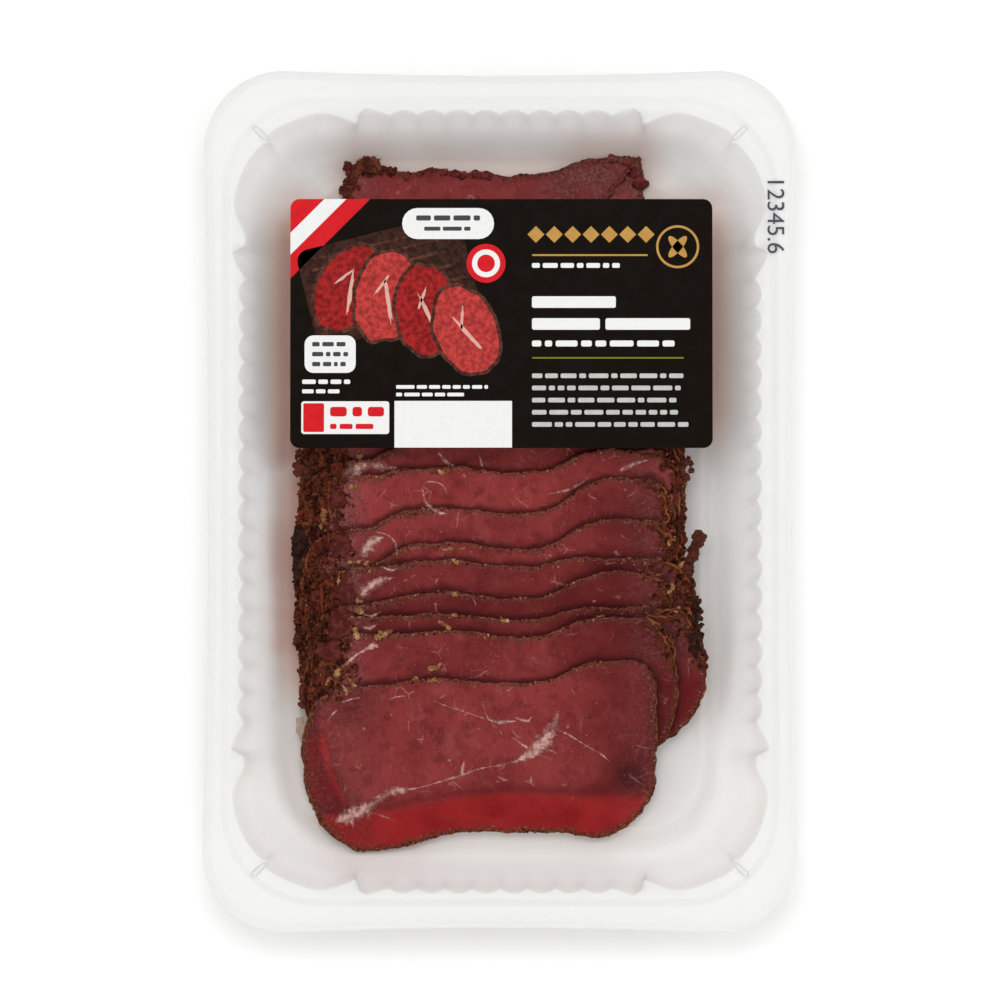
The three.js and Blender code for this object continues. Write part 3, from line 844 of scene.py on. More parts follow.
def make_label():
    low, high = (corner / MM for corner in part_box("label"))
    centre = (low + high) / 2
    black = ink("label_black", (0.006, 0.0037, 0.002))
    white = ink("label_white", (0.78, 0.78, 0.77), mottle=0.96)
    red = ink("label_red", (0.62, 0.014, 0.02))
    gold = ink("label_gold", (0.5, 0.27, 0.07), 0.3)
    grey = ink("label_grey", (0.06, 0.06, 0.065))
    brown = ink("label_brown", (0.11, 0.038, 0.026), mottle=0.3)
    dark_brown = ink("label_dark_brown", (0.05, 0.020, 0.014), mottle=0.4)
    flesh = ink("label_flesh", (0.36, 0.018, 0.018), mottle=0.45)
    pale_flesh = ink("label_pale_flesh", (0.52, 0.050, 0.045), mottle=0.5)
    cream = ink("label_cream", (0.66, 0.38, 0.32))
    green = ink("label_green", (0.19, 0.235, 0.022))
    sheet = bar(centre.x, centre.y, centre.x - low.x, centre.y - low.y, LABEL_CORNER)
    fit_piece(plates_object("label_sheet", [sheet], low.z, high.z, black), "label", "label")
    draw = random.Random(5)

    # a board with cuts of meat laid on it as a fan
    print_layer("board", [bar(-28, 55, 21, 12.5, 3, 14)], 0, dark_brown)
    grains = [bar(-28 + 3 * math.sin(i), 45.5 + 3.2 * i, 17, 0.35, 0.3, 14) for i in range(7)]
    print_layer("board_grain", grains, 1, brown)
    cuts = [(-38, 53, 62), (-28.5, 51, 78), (-18.5, 47.5, 95), (-8.5, 42.5, 112)]
    for k, (x, y, turn) in enumerate(cuts):
        print_layer(f"cut_rim_{k}", [oval(x, y, 12.2, 8.4, turn, ragged=0.1, seed=k)], 2 + 3 * k, brown)
        print_layer(f"cut_{k}", [oval(x, y, 11.3, 7.5, turn, ragged=0.1, seed=k)], 3 + 3 * k,
                    pale_flesh if k % 2 else flesh)
        streaks = [oval(x + 0.5, y - 1, 5.5, 0.5, turn + 20, 24, 0.5, k), oval(x - 1, y + 3, 3, 0.35, turn - 25, 24, 0.5, k)]
        print_layer(f"cut_fat_{k}", streaks, 4 + 3 * k, cream)

    # striped corner, round seal, plaque and energy tablet
    print_layer("corner_red", [corner_stripe(0, 8.5), corner_stripe(14, 20)], 0, red)
    print_layer("corner_white", [corner_stripe(8.5, 14)], 0, white)
    print_layer("plaque", [bar(-13, 69.3, 11.5, 3.9, 3.8)], 15, white)
    print_layer("plaque_rows", word_row(-21, -5, 70.7, 1.3, draw) + word_row(-19, -6, 68, 1.0, draw), 16, grey)
    print_layer("seal_red", [oval(-3.5, 59.3, 4.9, 4.9)], 15, red)
    print_layer("seal_white", [oval(-3.5, 59.3, 3.5, 3.5)], 16, white)
    print_layer("seal_middle", [oval(-3.5, 59.3, 2.2, 2.2)], 17, red)
    print_layer("tablet", [bar(-42.5, 36.5, 6.4, 4.7, 2.2)], 15, white)
    tablet_rows = [row for k in range(3) for row in word_row(-47, -38, 39 - 2.5 * k, 1.1, draw, 3.0)]
    print_layer("tablet_rows", tablet_rows, 16, grey)

    # gold row and ring, title bars, green rule and small rows
    diamonds = [bar(9 + 4.6 * i, 66.6, 1.5, 1.5, 0.1, 45) for i in range(7)]
    print_layer("gold", [*diamonds, oval(44.5, 63.5, 5.4, 5.4), bar(22.5, 61.4, 14.5, 0.22, 0.2)], 0, gold)
    print_layer("ring_inside", [oval(44.5, 63.5, 4.8, 4.8)], 1, black)
    print_layer("ring_leaf", [oval(44.5, 63.5, 3.4, 1.1, 50), oval(44.5, 63.5, 3.4, 1.1, -50)], 2, gold)
    rows = word_row(8, 30, 58.8, 1.2, draw, 4.0)
    rows += [bar(18.5, 49.6, 10.5, 1.45, 0.5)]
    rows += [bar(16.5, 44.1, 8.5, 1.45, 0.5), bar(37, 44.1, 10.6, 1.45, 0.5)]
    rows += word_row(8, 45, 39.2, 1.5, draw, 6.0)
    rows += word_row(-49.5, -37, 29.6, 1.1, draw, 3.5) + word_row(-49.5, -39, 27.2, 1.0, draw, 3.0)
    rows += word_row(-26, -3, 28.3, 0.9, draw) + word_row(-26, -9, 26.4, 0.9, draw)
    print_layer("white_rows", rows, 0, white)
    print_layer("rule", [bar(27, 35.6, 19, 0.17, 0.15)], 0, green)
    small = [row for k in range(5) for row in word_row(8, draw.uniform(43, 49), 31.1 - 3.05 * k, 1.15, draw)]
    print_layer("small_rows", small, 0, ink("label_pale", (0.52, 0.52, 0.49)))

    # two-coloured badge and the blank box
    print_layer("badge", [bar(-38.7, 20.6, 11, 4.1, 0.7), bar(-11.7, 18.95, 14.7, 5.85, 0.1)], 0, white)
    badge = [bar(-46.6, 20.6, 2.6, 3.6, 0.4), *word_row(-42.5, -29, 22.1, 2.4, draw, 7.0)]
    print_layer("badge_red", [*badge, *word_row(-42.5, -30, 18.4, 1.3, draw)], 1, red)


# Slices


def cad_rim(node):
    """The outline of a slice, read from the upright faces of its node, anticlockwise."""
    shape = bmesh.new()
    shape.from_mesh(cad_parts[node].data)
    bmesh.ops.remove_doubles(shape, verts=shape.verts, dist=1e-6)
    shape.normal_update()
    found = {}
    for face in shape.faces:
        if abs(face.normal.z) < 0.05:
            for vertex in face.verts:
                key = (round(vertex.co.x * 1e5), round(vertex.co.y * 1e5))
                found[key] = Vector((vertex.co.x, vertex.co.y)) / MM
    shape.free()
    low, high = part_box(node)
    centre = Vector((low.x + high.x, low.y + high.y)) / 2 / MM
    return sorted(found.values(), key=lambda p: math.atan2(p.y - centre.y, (p.x - centre.x) * 0.45))


def resampled(points, count):
    """Evenly spaced points on the closed Catmull-Rom curve through these points."""
    total = len(points)
    fine = []
    for i in range(total):
        run = [tuple(points[(i + k - 1) % total]) for k in range(4)]
        fine += spline(run, 8)[8:16]
    fine = np.array(fine)
    legs = np.linalg.norm(np.roll(fine, -1, axis=0) - fine, axis=1)
    reach = np.concatenate([[0], np.cumsum(legs)])
    closed = np.vstack([fine, fine[:1]])
    wanted = np.linspace(0, reach[-1], count, endpoint=False)
    return np.stack([np.interp(wanted, reach, closed[:, k]) for k in range(2)], axis=1)


def softened(outline, spread):
    """A closed outline after a moving average, which rounds its corners and crags."""
    reach = 3 * spread
    weights = np.exp(-0.5 * (np.arange(-reach, reach + 1) / spread) ** 2)
    weights /= weights.sum()
    padded = np.vstack([outline[-reach:], outline, outline[:reach]])
    return np.stack([np.convolve(padded[:, k], weights, "valid") for k in range(2)], axis=1)


def outward_of(outline):
    """Unit vectors that point out of a closed anticlockwise outline."""
    along = np.roll(outline, -3, axis=0) - np.roll(outline, 3, axis=0)
    along /= np.linalg.norm(along, axis=1)[:, None]
    return np.stack([along[:, 1], -along[:, 0]], axis=1)


def depth_inside(points, outline):
    """Signed distance of points to a closed outline, positive inside."""
    best = np.full(len(points), 1e9)
    inside = np.zeros(len(points), bool)
    for start, end in zip(outline, np.roll(outline, -1, axis=0)):
        leg = end - start
        offset = points - start
        t = np.clip(offset @ leg / (leg @ leg + 1e-12), 0, 1)
        best = np.minimum(best, np.linalg.norm(offset - t[:, None] * leg, axis=1))
        crosses = (start[1] > points[:, 1]) != (end[1] > points[:, 1])
        where = start[0] + (points[:, 1] - start[1]) / (leg[1] + 1e-12) * leg[0]
        inside ^= crosses & (points[:, 0] < where)
    return np.where(inside, best, -best)


def red_depths(points):
    """How far points of the last slice lie below and left of the lines that bound its clear red part."""
    below = np.interp(points[:, 0], *zip(*RED_BELOW)) - points[:, 1]
    beside = np.interp(points[:, 1], *zip(*RED_LEFT)) - points[:, 0]
    return below, beside


class Slice:
    """One slice: its outline, how its rim runs, and later the tree to drop things on it."""

    def __init__(self, index):
        self.index = index
        self.node = SLICE_NODES[index]
        low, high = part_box(self.node)
        self.low_y = low.y / MM
        self.middle = np.array([low.x + high.x, low.y + high.y]) / 2 / MM
        plain = resampled(cad_rim(self.node), RIM_POINTS)
        side = np.clip((np.abs(plain[:, 0]) - 30) / 12, 0, 1)
        right = np.clip((plain[:, 0] - 30) / 8, 0, 1)
        crags = 0.28 * wobble(plain, 1.1, index) + 0.35 * wobble(plain, 3.2, index + 40) * (0.4 + side)
        frilled = right * smooth((plain[:, 1] + 46) / 8)
        crags += 0.9 * frilled * (np.abs(wobble(plain, 2.6, index + 80)) * 2 - 0.6)
        self.rim = plain + outward_of(plain) * crags[:, None]
        self.outward = outward_of(softened(plain, RIM_SOFTNESS))
        self.inner = softened(plain, RIM_SOFTNESS) - self.outward * RIM_RINGS[-1]
        self.shade = SHADES[index - FIRST_SHOWN] if index >= FIRST_SHOWN else HIDDEN_SHADE
        self.crust = self.crust_widths()
        self.top = None

    def crust_widths(self):
        """The bark is thin along the upper and lower edges, and broad where the sides fan out."""
        x, y = self.rim[:, 0], self.rim[:, 1]
        uneven = 0.9 * np.clip(wobble(self.rim, 9.0, self.index + 13), 0, 1)
        if self.index == 0:
            return 0.7 + uneven + 2.0 * smooth((-26 - x) / 7) + 0.6 * smooth((x - 22) / 10)
        if self.index == len(SLICE_NODES) - 1:
            return 0.6 + 0.8 * uneven + 0.5 * smooth((-36 - x) / 8) + 0.3 * smooth((-74 - y) / 6)
        right = 3.2 * smooth((x - 38.5) / 5) * smooth((y + 46) / 10)
        return 0.6 + uneven + 0.6 * smooth((-12 - x) / 10) + 7.4 * smooth((-37 - x) / 8) + right

    def dust(self, points):
        """How much fine spice lies on the flesh, away from the rim."""
        x = points[:, 0]
        if self.index == 0:
            return 0.7 * smooth((x - 4) / 14) + 0.45 * smooth((-28 - x) / 8)
        if self.index == len(SLICE_NODES) - 1:
            return 0.25 * smooth((np.abs(x) - 26) / 12)
        right = 0.35 * smooth((x - 28) / 10) * smooth((points[:, 1] + 46) / 10)
        return 0.8 * smooth((-31 - x) / 8) + right

    def shade_at(self, points):
        """The lightness of the flesh, which falls off to the right; -1 is nearly black."""
        x, y = points[:, 0], points[:, 1]
        shade = np.clip(self.shade - RIGHT_SHADE * smooth((x - 12) / 18), 0, 1)
        if self.index == 0:
            return 0.9 - 0.4 * smooth((y - 79) / 5) - 0.1 * smooth((x - 12) / 18)
        if self.index == len(SLICE_NODES) - 1:
            below, beside = red_depths(points)
            shade -= 1.1 * np.exp(-((x - 32.5) / 5) ** 2 - ((y + 68) / 4) ** 2)
            shade -= 0.6 * np.exp(-((x + 39) / 8) ** 2 - ((y + 50) / 8) ** 2)
            # painted shade: the terms in beside and below darken bands just inside the left and lower edges of
            # the clear red, like the painted edge shade in the meat's material
            shade -= 0.45 * np.exp(-(beside / 3) ** 2) * smooth((-58 - y) / 8)
            shade -= 1.1 * smooth((beside - 0.6) / 2.4) * smooth((y + 81) / 4)
            shade -= 0.35 * np.exp(-(below / 3) ** 2) + 0.6 * smooth((x - 36) / 4) * smooth((y + 66) / 8)
        return np.clip(shade, -1, 1)

    def height(self, slices, points, distance):
        """The upper face: the drape over earlier slices, side folds and a curled upper rim."""
        y = points[:, 1]
        layers = np.zeros(len(y))
        for other in slices[:self.index]:
            t = np.clip((y - other.low_y + DRAPE) / DRAPE, 0, 1)
            layers += (1 - np.cos(np.pi * t)) / 2
        climb = TOE_CLIMB * np.clip(np.abs(y) - TOE_START, 0, None) ** 2
        z = SLICE_FLOOR + climb + LAYER * layers + SLICE
        side = smooth((np.abs(points[:, 0]) - 33) / 9)
        folds = np.stack([points[:, 0] * 2.4, y * 0.8], axis=1)
        z += side * (0.3 * wobble(points, 8.0, 3) + 0.42 * wobble(folds, 5.0, self.index + 5))
        z += side * 0.3 * np.abs(wobble(points, 1.7, self.index + 33))
        near = np.clip(1 - distance / 3.0, 0, 1) ** 2
        upper = np.clip((self.outward[:, 1] - 0.25) / 0.4, 0, 1) * (1 - 0.8 * side)
        lift = 0.35 + 0.4 * wobble(points, 9.0, self.index + 60)
        if self.index in (13, 15, 16):
            lift += 0.7 * smooth((points[:, 0] - 20) / 8)
        rounded = 0.25 * np.clip(1 - distance / 0.5, 0, 1) ** 2
        return z + near * (0.1 + 0.25 * wobble(points, 2.2, self.index + 20) + upper * lift) - rounded

    def rings(self):
        """Loops of points with their distance from the rim, from the rim to a slit at the middle."""
        yield self.rim, 0.0
        for depth in RIM_RINGS:
            yield mix(self.rim, self.inner, depth / RIM_RINGS[-1]), depth
        squash = self.middle + (self.inner - self.middle) * np.array(CORE_SQUASH)
        for k in range(1, CORE_RINGS + 1):
            share = (k / CORE_RINGS) ** CORE_CROWDING
            yield mix(self.inner, squash, share), RIM_RINGS[-1] + 22 * share


# What the meat's material reads at each point of a slice, besides the distance from the rim
SLICE_VALUES = ("crust", "gap", "alone", "shade", "dust")


def make_slice(item, slices, meat):
    """Builds the slice's sheet from its rings, with the attributes that its material reads."""
    shape = bmesh.new()
    layers = {name: shape.verts.layers.float.new(name) for name in ("rim", *SLICE_VALUES)}
    below = [other for other in slices[:item.index] if other.index >= item.index - 7]
    above = slices[item.index + 1:item.index + 5]
    loop = None
    for points, depth in item.rings():
        z = item.height(slices, points, np.full(len(points), depth))
        places = [(x, y, h) for (x, y), h in zip(points, z)]
        loop = start_run(shape, places) if loop is None else grow_run(shape, loop, places)
        bare = np.zeros(len(points))
        gap = np.full(len(points), 9.0)
        if item.index >= FIRST_SHOWN:
            covered = np.max([depth_inside(points, other.rim[::8]) for other in below], axis=0)
            # alone: over the bare white tray, where the material paints the slice a brighter red as light
            # coming back through it
            if item is slices[-1]:
                below_line, beside = red_depths(points) + 0.7 * wobble(points, 6.0, 4)
                side = smooth((beside + 0.4) / 1.6) * smooth((-56 - points[:, 1]) / 4)
                bare = np.maximum(smooth((below_line + 1.6) / 5.0), side)
            else:
                bare = np.clip((1.2 - covered) / 5, 0, MIDDLE_BARE)
        if above:
            gap = -np.max([depth_inside(points, other.rim[::4]) for other in above], axis=0)
        shade = item.shade_at(points)
        for vertex, *values in zip(loop, item.crust, gap, bare, shade, item.dust(points)):
            vertex[layers["rim"]] = depth
            for name, value in zip(SLICE_VALUES, values):
                vertex[layers[name]] = value
    shape.faces.new(loop)
    face_upwards(shape)
    item.top = BVHTree.FromBMesh(shape)
    piece = object_from(f"{item.node}_meat", shape, meat)
    add_wall(piece, SLICE)
    fit_piece(piece, "meat", item.node)


def drop_on(slices, x, y):
    """The highest slice under a spot, with the place and the normal there, or None."""
    for item in reversed(slices):
        place, normal, _, _ = item.top.ray_cast(Vector((x * MM, y * MM, 0.1)), Vector((0, 0, -1)))
        if place:
            return item, place / MM, normal
    return None


# Fat, bark and spice

# Streaks of fat on the slices: x, y and width at each point
FAT_STREAKS = (
    ((-41.8, -80.6, 0.5), (-38.5, -78.9, 2.6), (-35, -77.7, 3.2), (-32.3, -76.0, 2.0), (-29.3, -74, 1.4),
     (-26.5, -72.7, 1.7), (-20.2, -71.7, 0.35), (-9.6, -68.6, 0.8), (-5, -67, 0.5), (1, -65.9, 0.5),
     (5, -64.6, 1.0), (8.5, -62.3, 2.6), (11.4, -59.6, 3.2), (13.6, -56, 1.8), (14.6, -52.6, 0.4)),
    ((-16.7, -50, 0.25), (-12.7, -51.5, 0.5), (-8, -53, 0.3), (-3, -54.7, 0.5), (0, -55.3, 1.0),
     (4.4, -55, 0.25)),
    ((3.3, -54, 0.3), (6.7, -55, 0.8), (8.2, -53.8, 0.3)),
    ((-4.6, -50, 0.2), (-3.8, -52.4, 0.3), (-2.9, -54.7, 0.4)),
    ((13.8, -57, 0.4), (17.5, -58.6, 0.5), (21, -60.8, 0.25), (25.5, -63.4, 0.5), (27.5, -65.2, 0.2)),
    ((7.0, -61.8, 0.8), (4.6, -60.2, 0.4), (2.6, -58.8, 0.25)),
    ((10.2, -61.6, 0.8), (12.8, -62.4, 0.5), (14.4, -63.2, 0.2)),
    ((-33.4, -77.6, 0.5), (-30.6, -78.6, 0.35), (-26, -80.2, 0.15)),
    ((-37.8, -79.2, 1.2), (-37.2, -81.0, 0.8), (-37.0, -82.2, 0.2)),
    ((-9.6, -68.6, 0.7), (-9.3, -66.3, 0.8), (-9, -65, 0.25)),
    ((-43.7, -55.3, 0.3), (-42.3, -53.6, 0.6), (-40.9, -52.2, 0.25)),
    ((-39.9, -50.4, 0.25), (-37.5, -49.6, 0.55), (-35.1, -49.2, 0.3)),
    ((-28.5, -50, 0.2), (-26, -49, 0.4), (-23.6, -48.8, 0.3)),
    ((-41, -42.4, 0.5), (-38.6, -40.6, 0.9), (-36, -38.4, 0.8), (-33.2, -36.8, 0.9), (-31.6, -36, 1.6),
     (-30.6, -36.6, 0.4)),
    ((-34.8, -13.8, 1.6), (-33.4, -11.2, 2.2), (-31.6, -9.6, 1.8), (-29.2, -8.8, 0.6)),
    ((-34.8, -23.8, 1.4), (-33.4, -21.6, 2.2), (-30.6, -20, 1.8), (-26.4, -18.9, 0.4)),
    ((-25.9, -13.4, 0.7), (-26.3, -10.4, 0.6), (-28.4, -8.2, 0.5), (-31.4, -7.4, 0.3)),
    ((-39.6, 7.2, 2.0), (-36.8, 7.8, 2.6), (-34, 9.2, 1.6), (-29.5, 8.8, 1.4), (-25.6, 8.6, 0.4)),
    ((-19.4, 3.4, 0.4), (-18.6, -0.2, 0.7), (-15.4, -2.6, 0.9), (-13.6, -2.8, 0.3)),
    ((-19.6, 4.4, 0.3), (-17.4, 5.2, 0.5), (-14.6, 4.4, 0.4), (-13.2, 2, 0.25)),
    ((-15.6, 12.6, 0.5), (-13.4, 10, 0.9), (-11.6, 9.2, 0.4)),
    ((-5.4, 12.8, 0.4), (-4.4, 8.8, 0.6)),
    ((30, 7.8, 0.9), (34, 9.6, 1.0), (37.4, 10.6, 0.4)),
    ((12, 2, 0.4), (18, 3.4, 0.7), (22.6, 6.4, 0.5)),
    ((-34.8, -27.8, 0.5), (-32.6, -28.8, 0.8), (-29.8, -27.4, 0.4)),
    ((-34.4, -31.6, 0.6), (-32.4, -31.6, 0.9), (-31, -30.8, 0.3)),
    ((-29.6, -16.2, 0.4), (-27.4, -17.2, 0.8), (-25.2, -16.4, 0.3)),
)

# Single spice grains: x, y, length, width and turn in degrees
SPICE_GRAINS = (
    (-16.2, -41.5, 3.6, 1.3, 25), (-21.3, -44.5, 1.8, 1.1, 10), (-16.9, -44.9, 2.4, 1.0, 5),
    (-36.7, -32.5, 4.6, 1.7, -50), (-29.5, -33.3, 4.0, 1.9, 20), (-35.7, -24.8, 1.9, 1.5, 0),
    (-35.7, -27.1, 2.1, 1.7, 0), (-36.6, -15, 3.0, 1.2, 5), (-33.7, -15.4, 1.3, 1.2, 0),
    (-13.8, -31.1, 3.7, 1.4, -25), (-37.1, 3.8, 2.5, 1.5, -15), (-14.8, 7.7, 1.7, 1.1, 0),
    (-44.6, -4.5, 5.8, 1.5, 85), (-40.9, -42.9, 2.3, 1.9, 30), (-43.4, -45, 2.2, 0.9, 60),
    (-39, -47.2, 3.0, 0.9, -60), (-37.1, -45.6, 2.6, 1.0, -50), (-40.6, -20, 5.4, 0.8, 85),
    (-11.4, -23.5, 1.5, 1.1, 0), (-11.1, -15.1, 2.1, 1.1, -20), (-13.2, -11.9, 2.7, 0.9, 5),
    (-9.6, -11.6, 1.7, 0.7, 10), (-11.4, -28.4, 1.3, 1.0, 0), (1.3, -29.8, 2.8, 0.9, -20),
    (25.3, -28.8, 2.1, 0.7, 5), (47.0, 6.3, 1.9, 1.3, 20), (46.6, 4.4, 1.3, 0.9, 0),
    (43.1, -9.8, 2.6, 1.3, 50), (46.2, -15.5, 2.2, 1.4, 20), (42.9, -21.8, 2.8, 1.5, 50),
    (-35.2, 11.8, 1.9, 1.4, 20), (44.6, -27, 1.8, 1.2, 70),
)

# Lumps of bark: x, y, half width, half height, how many crumbs and their tone, from 0 for black
BARK_LUMPS = (
    (-50.2, -10.2, 2.1, 4.2, 90, 0.0), (-50.8, -16.8, 1.3, 2.5, 50, 0.1), (49.2, -31.5, 1.5, 8.0, 90, 0.15),
    (50.2, -9.2, 1.5, 1.9, 60, 0.75), (48.7, -12.6, 1.1, 2.2, 50, 0.7), (-48.2, 9.4, 2.2, 3.4, 36, 0.6),
    (47.5, -16.4, 1.0, 2.6, 40, 0.65), (-51.0, -34.4, 1.0, 1.4, 12, 0.7), (46.8, 8.6, 1.4, 3.6, 30, 0.8), (-50.0, -49.0, 0.8, 2.6, 16, 0.9),
    (-50.6, 9.8, 1.5, 3.2, 60, 0.85),
)
LUMP_Z = 7.0
LEFT_BAND_CRUMBS = 1100

# Ridges of bark along the left ends of the slices
RIDGES = 30
RIDGE_X = (-50.6, -41.5)
RIDGE_Y = (-46.0, 12.0)
RIDGE_STEP = 0.8

# Dark lobes of flesh between the bark and the clear flesh: x, y, half width and half height
FLESH_LOBES = (
    (-39.9, -9.7, 2.7, 3.6), (-39.2, -21.0, 3.1, 3.7), (-39.8, -30.8, 3.0, 3.8), (-42.6, -37.8, 3.4, 2.4),
    (-40.8, 2.2, 2.6, 3.0),
)

# Knobs at the first slice's upper corners: x, y and size
CORNER_KNOBS = (
    (29.0, 87.6, 1.5), (32.2, 87.2, 1.6), (33.6, 84.9, 1.5), (35.6, 82.0, 1.9), (-38.4, 85.9, 1.3),
    (-37.6, 83.4, 1.4), (-34.0, 87.0, 1.3), (-38.2, 80.6, 1.2),
)

# Streaks of fat run out from full at their middle line to clear at these shares of their half width
FAT_ACROSS = (-1.0, -0.5, 0.0, 0.5, 1.0)
FAT_SPREAD = 0.9
SPECKS = 520

# Frills at the right ends: how far in each strand runs, the pitch and the reach of its small lobes
FRILL_INSETS = (0.1, 1.8)
FRILL_PITCH = 2.5
FRILL_REACH = 0.8


def fat_ribbon(shape, fat, slices, streak):
    """Lays a streak of fat on the slices as a narrow strip, full in its middle and clear at its sides."""
    points = spline(streak, 7) + [streak[-1]]
    run = None
    for i, (x, y, width) in enumerate(points):
        x0, y0, _ = points[max(i - 1, 0)]
        x1, y1, _ = points[min(i + 1, len(points) - 1)]
        across = Vector((y0 - y1, x1 - x0)).normalized()
        places = []
        for side in FAT_ACROSS:
            uneven = 1 + 0.7 * noise.noise(Vector((x * 0.7, y * 0.7, side * 3)))
            spot = Vector((x, y)) + across * side * width * min(FAT_SPREAD, 0.55 + 0.3 * width) * uneven
            found = drop_on(slices, spot.x, spot.y)
            if not found:
                return
            places.append(found[1] + Vector((0, 0, 0.035)))
        closing = run is not None
        run = grow_run(shape, run, places, False) if closing else start_run(shape, places, False)
        for vertex, side in zip(run, FAT_ACROSS):
            fullness = (1 - abs(side)) * min(1.0, 0.6 + 0.4 * points[i][2])
            vertex[fat] = fullness if 0 < i < len(points) - 1 else 0.0


def make_fat(slices, fat_look):
    shape = bmesh.new()
    fat = shape.verts.layers.float.new("fat")
    for streak in FAT_STREAKS:
        fat_ribbon(shape, fat, slices, streak)
    face_upwards(shape)
    fit_piece(object_from("fat_streaks", shape, fat_look), "meat")


class Crumbs:
    """Gathers uneven crumbs, each a worn and stretched ball, into one mesh."""

    def __init__(self, fineness, wear, draw):
        ball = bmesh.new()
        bmesh.ops.create_icosphere(ball, subdivisions=fineness, radius=1)
        self.faces = [[v.index for v in face.verts] for face in ball.faces]
        base = np.array([v.co for v in ball.verts])
        ball.free()
        self.kinds = []
        for kind in range(12):
            shift = Vector((kind * 9.1, 0, 0))
            worn = [1 + wear * noise.noise(Vector(v) * 1.7 + shift) for v in base]
            self.kinds.append(base * np.array(worn)[:, None])
        self.draw = draw
        self.shape_points = []
        self.shape_faces = []
        self.tones = []

    def add(self, place, half, turn=None, tone=None):
        """Adds a crumb at a place, with three half sizes, turned about the upright axis. Its tone is
        mostly dark where none is given."""
        turn = self.draw.uniform(0, math.tau) if turn is None else turn
        tone = self.draw.random() ** 2 if tone is None else tone
        lean = Matrix.Rotation(self.draw.uniform(-0.35, 0.35), 3, "X")
        turned = np.array(Matrix.Rotation(turn, 3, "Z") @ lean)
        start = len(self.shape_points)
        body = (self.draw.choice(self.kinds) * np.array(half)) @ turned.T + np.array(place)
        self.shape_points.extend((body * MM).tolist())
        self.shape_faces.extend([[i + start for i in face] for face in self.faces])
        self.tones.extend([tone] * len(body))

    def finish(self, name, material):
        mesh = bpy.data.meshes.new(name)
        mesh.from_pydata(self.shape_points, [], self.shape_faces)
        mesh.attributes.new("tone", "FLOAT", "POINT").data.foreach_set("value", self.tones)
        for face in mesh.polygons:
            face.use_smooth = True
        mesh.materials.append(material)
        piece = bpy.data.objects.new(name, mesh)
        bpy.context.scene.collection.objects.link(piece)
        fit_piece(piece, "meat")


def make_bark(slices, bark):
    """Crumbs along every rim that shows: sparse and fine on the upper edges, thick at the sides."""
    draw = random.Random(11)
    crumbs = Crumbs(2, 0.7, draw)
    for item in (slices[0], *slices[FIRST_SHOWN - 1:]):
        for i in range(0, RIM_POINTS, 2):
            crust = item.crust[i]
            fine = crust < 3.4
            for _ in range(1 if fine else 1 + int(crust * 0.3)):
                if fine and draw.random() < 0.45:
                    continue
                depth = draw.random() ** 1.4 * crust * (1.0 if fine else 0.8)
                x, y = item.rim[i] - item.outward[i] * depth
                x += draw.uniform(-0.5, 0.5)
                found = drop_on(slices, x, y)
                if not found or found[0] is not item:
                    continue
                size = draw.uniform(0.1, 0.26) if fine else draw.uniform(0.15, 0.42)
                half = (size * draw.uniform(1.0, 2.2), size, size * 0.75)
                along = math.atan2(-item.outward[i][0], item.outward[i][1])
                crumbs.add(found[1] + Vector((0, 0, size * 0.1)), half, along + draw.uniform(-0.7, 0.7))
    for _ in range(LEFT_BAND_CRUMBS):
        x, y = -51.5 + 12.0 * draw.random() ** 1.5, draw.uniform(-50, 12)
        found = drop_on(slices, x, y)
        if found:
            size = draw.uniform(0.15, 0.55)
            half = (size * draw.uniform(0.9, 1.9), size, size * 0.7)
            crumbs.add(found[1] - Vector((0, 0, size * 0.1)), half)
    crumbs.finish("bark_crumbs", bark)


def make_ridges(slices, bark):
    """Long wavy ridges of bark that run along the left ends of the slices, side by side."""
    draw = random.Random(41)
    shape = bmesh.new()
    tone = shape.verts.layers.float.new("tone")
    for _ in range(RIDGES):
        x, y = draw.uniform(*RIDGE_X), draw.uniform(*RIDGE_Y)
        length, width = draw.uniform(4, 15), draw.uniform(0.25, 0.6)
        sway, seed, lightness = draw.uniform(0.8, 2.4), draw.uniform(0, 99), draw.random() ** 1.8
        steps = round(length / RIDGE_STEP)
        centres, radii = [], []
        for k in range(steps + 1):
            share = k / steps
            spot_y = y - length * share
            found = drop_on(slices, x + sway * noise.noise(Vector((seed, spot_y * 0.16, 0))), spot_y)
            if not found:
                break
            centres.append(found[1] + Vector((0, 0, width * 0.15)))
            radii.append(width * (0.3 + 0.7 * math.sin(math.pi * share)) * draw.uniform(0.75, 1.25))
        if len(centres) > 3:
            add_tube(shape, centres, radii, tone, [lightness] * len(centres))
    bmesh.ops.recalc_face_normals(shape, faces=shape.faces)
    fit_piece(object_from("bark_ridges", shape, bark), "meat")


def make_lobes(slices, lobe_flesh):
    """Low rounded lobes of dark flesh beside the bark on the left."""
    draw = random.Random(43)
    lobes = Crumbs(4, 0.8, draw)
    for x, y, half_x, half_y in FLESH_LOBES:
        found = drop_on(slices, x, y)
        if found:
            lobes.add(found[1] - Vector((0, 0, 0.25)), (half_x, half_y, 0.75), draw.uniform(-0.3, 0.3))
    lobes.finish("flesh_lobes", lobe_flesh)


def make_flap(pale):
    """A pale flap of skin that stands out past the last slice's left rim."""
    flap = Crumbs(4, 0.8, random.Random(51))
    flap.add((-49.8, -57.0, 6.2), (1.3, 2.7, 0.3), 0.25)
    flap.finish("pale_flap", pale)


def rim_height(slices, x, y):
    """The height of the slices under a spot, or of their side next to it."""
    for inward in np.arange(1.0, 0.8, -0.02):
        found = drop_on(slices, inward * x, y)
        if found:
            return found[1].z
    return LUMP_Z


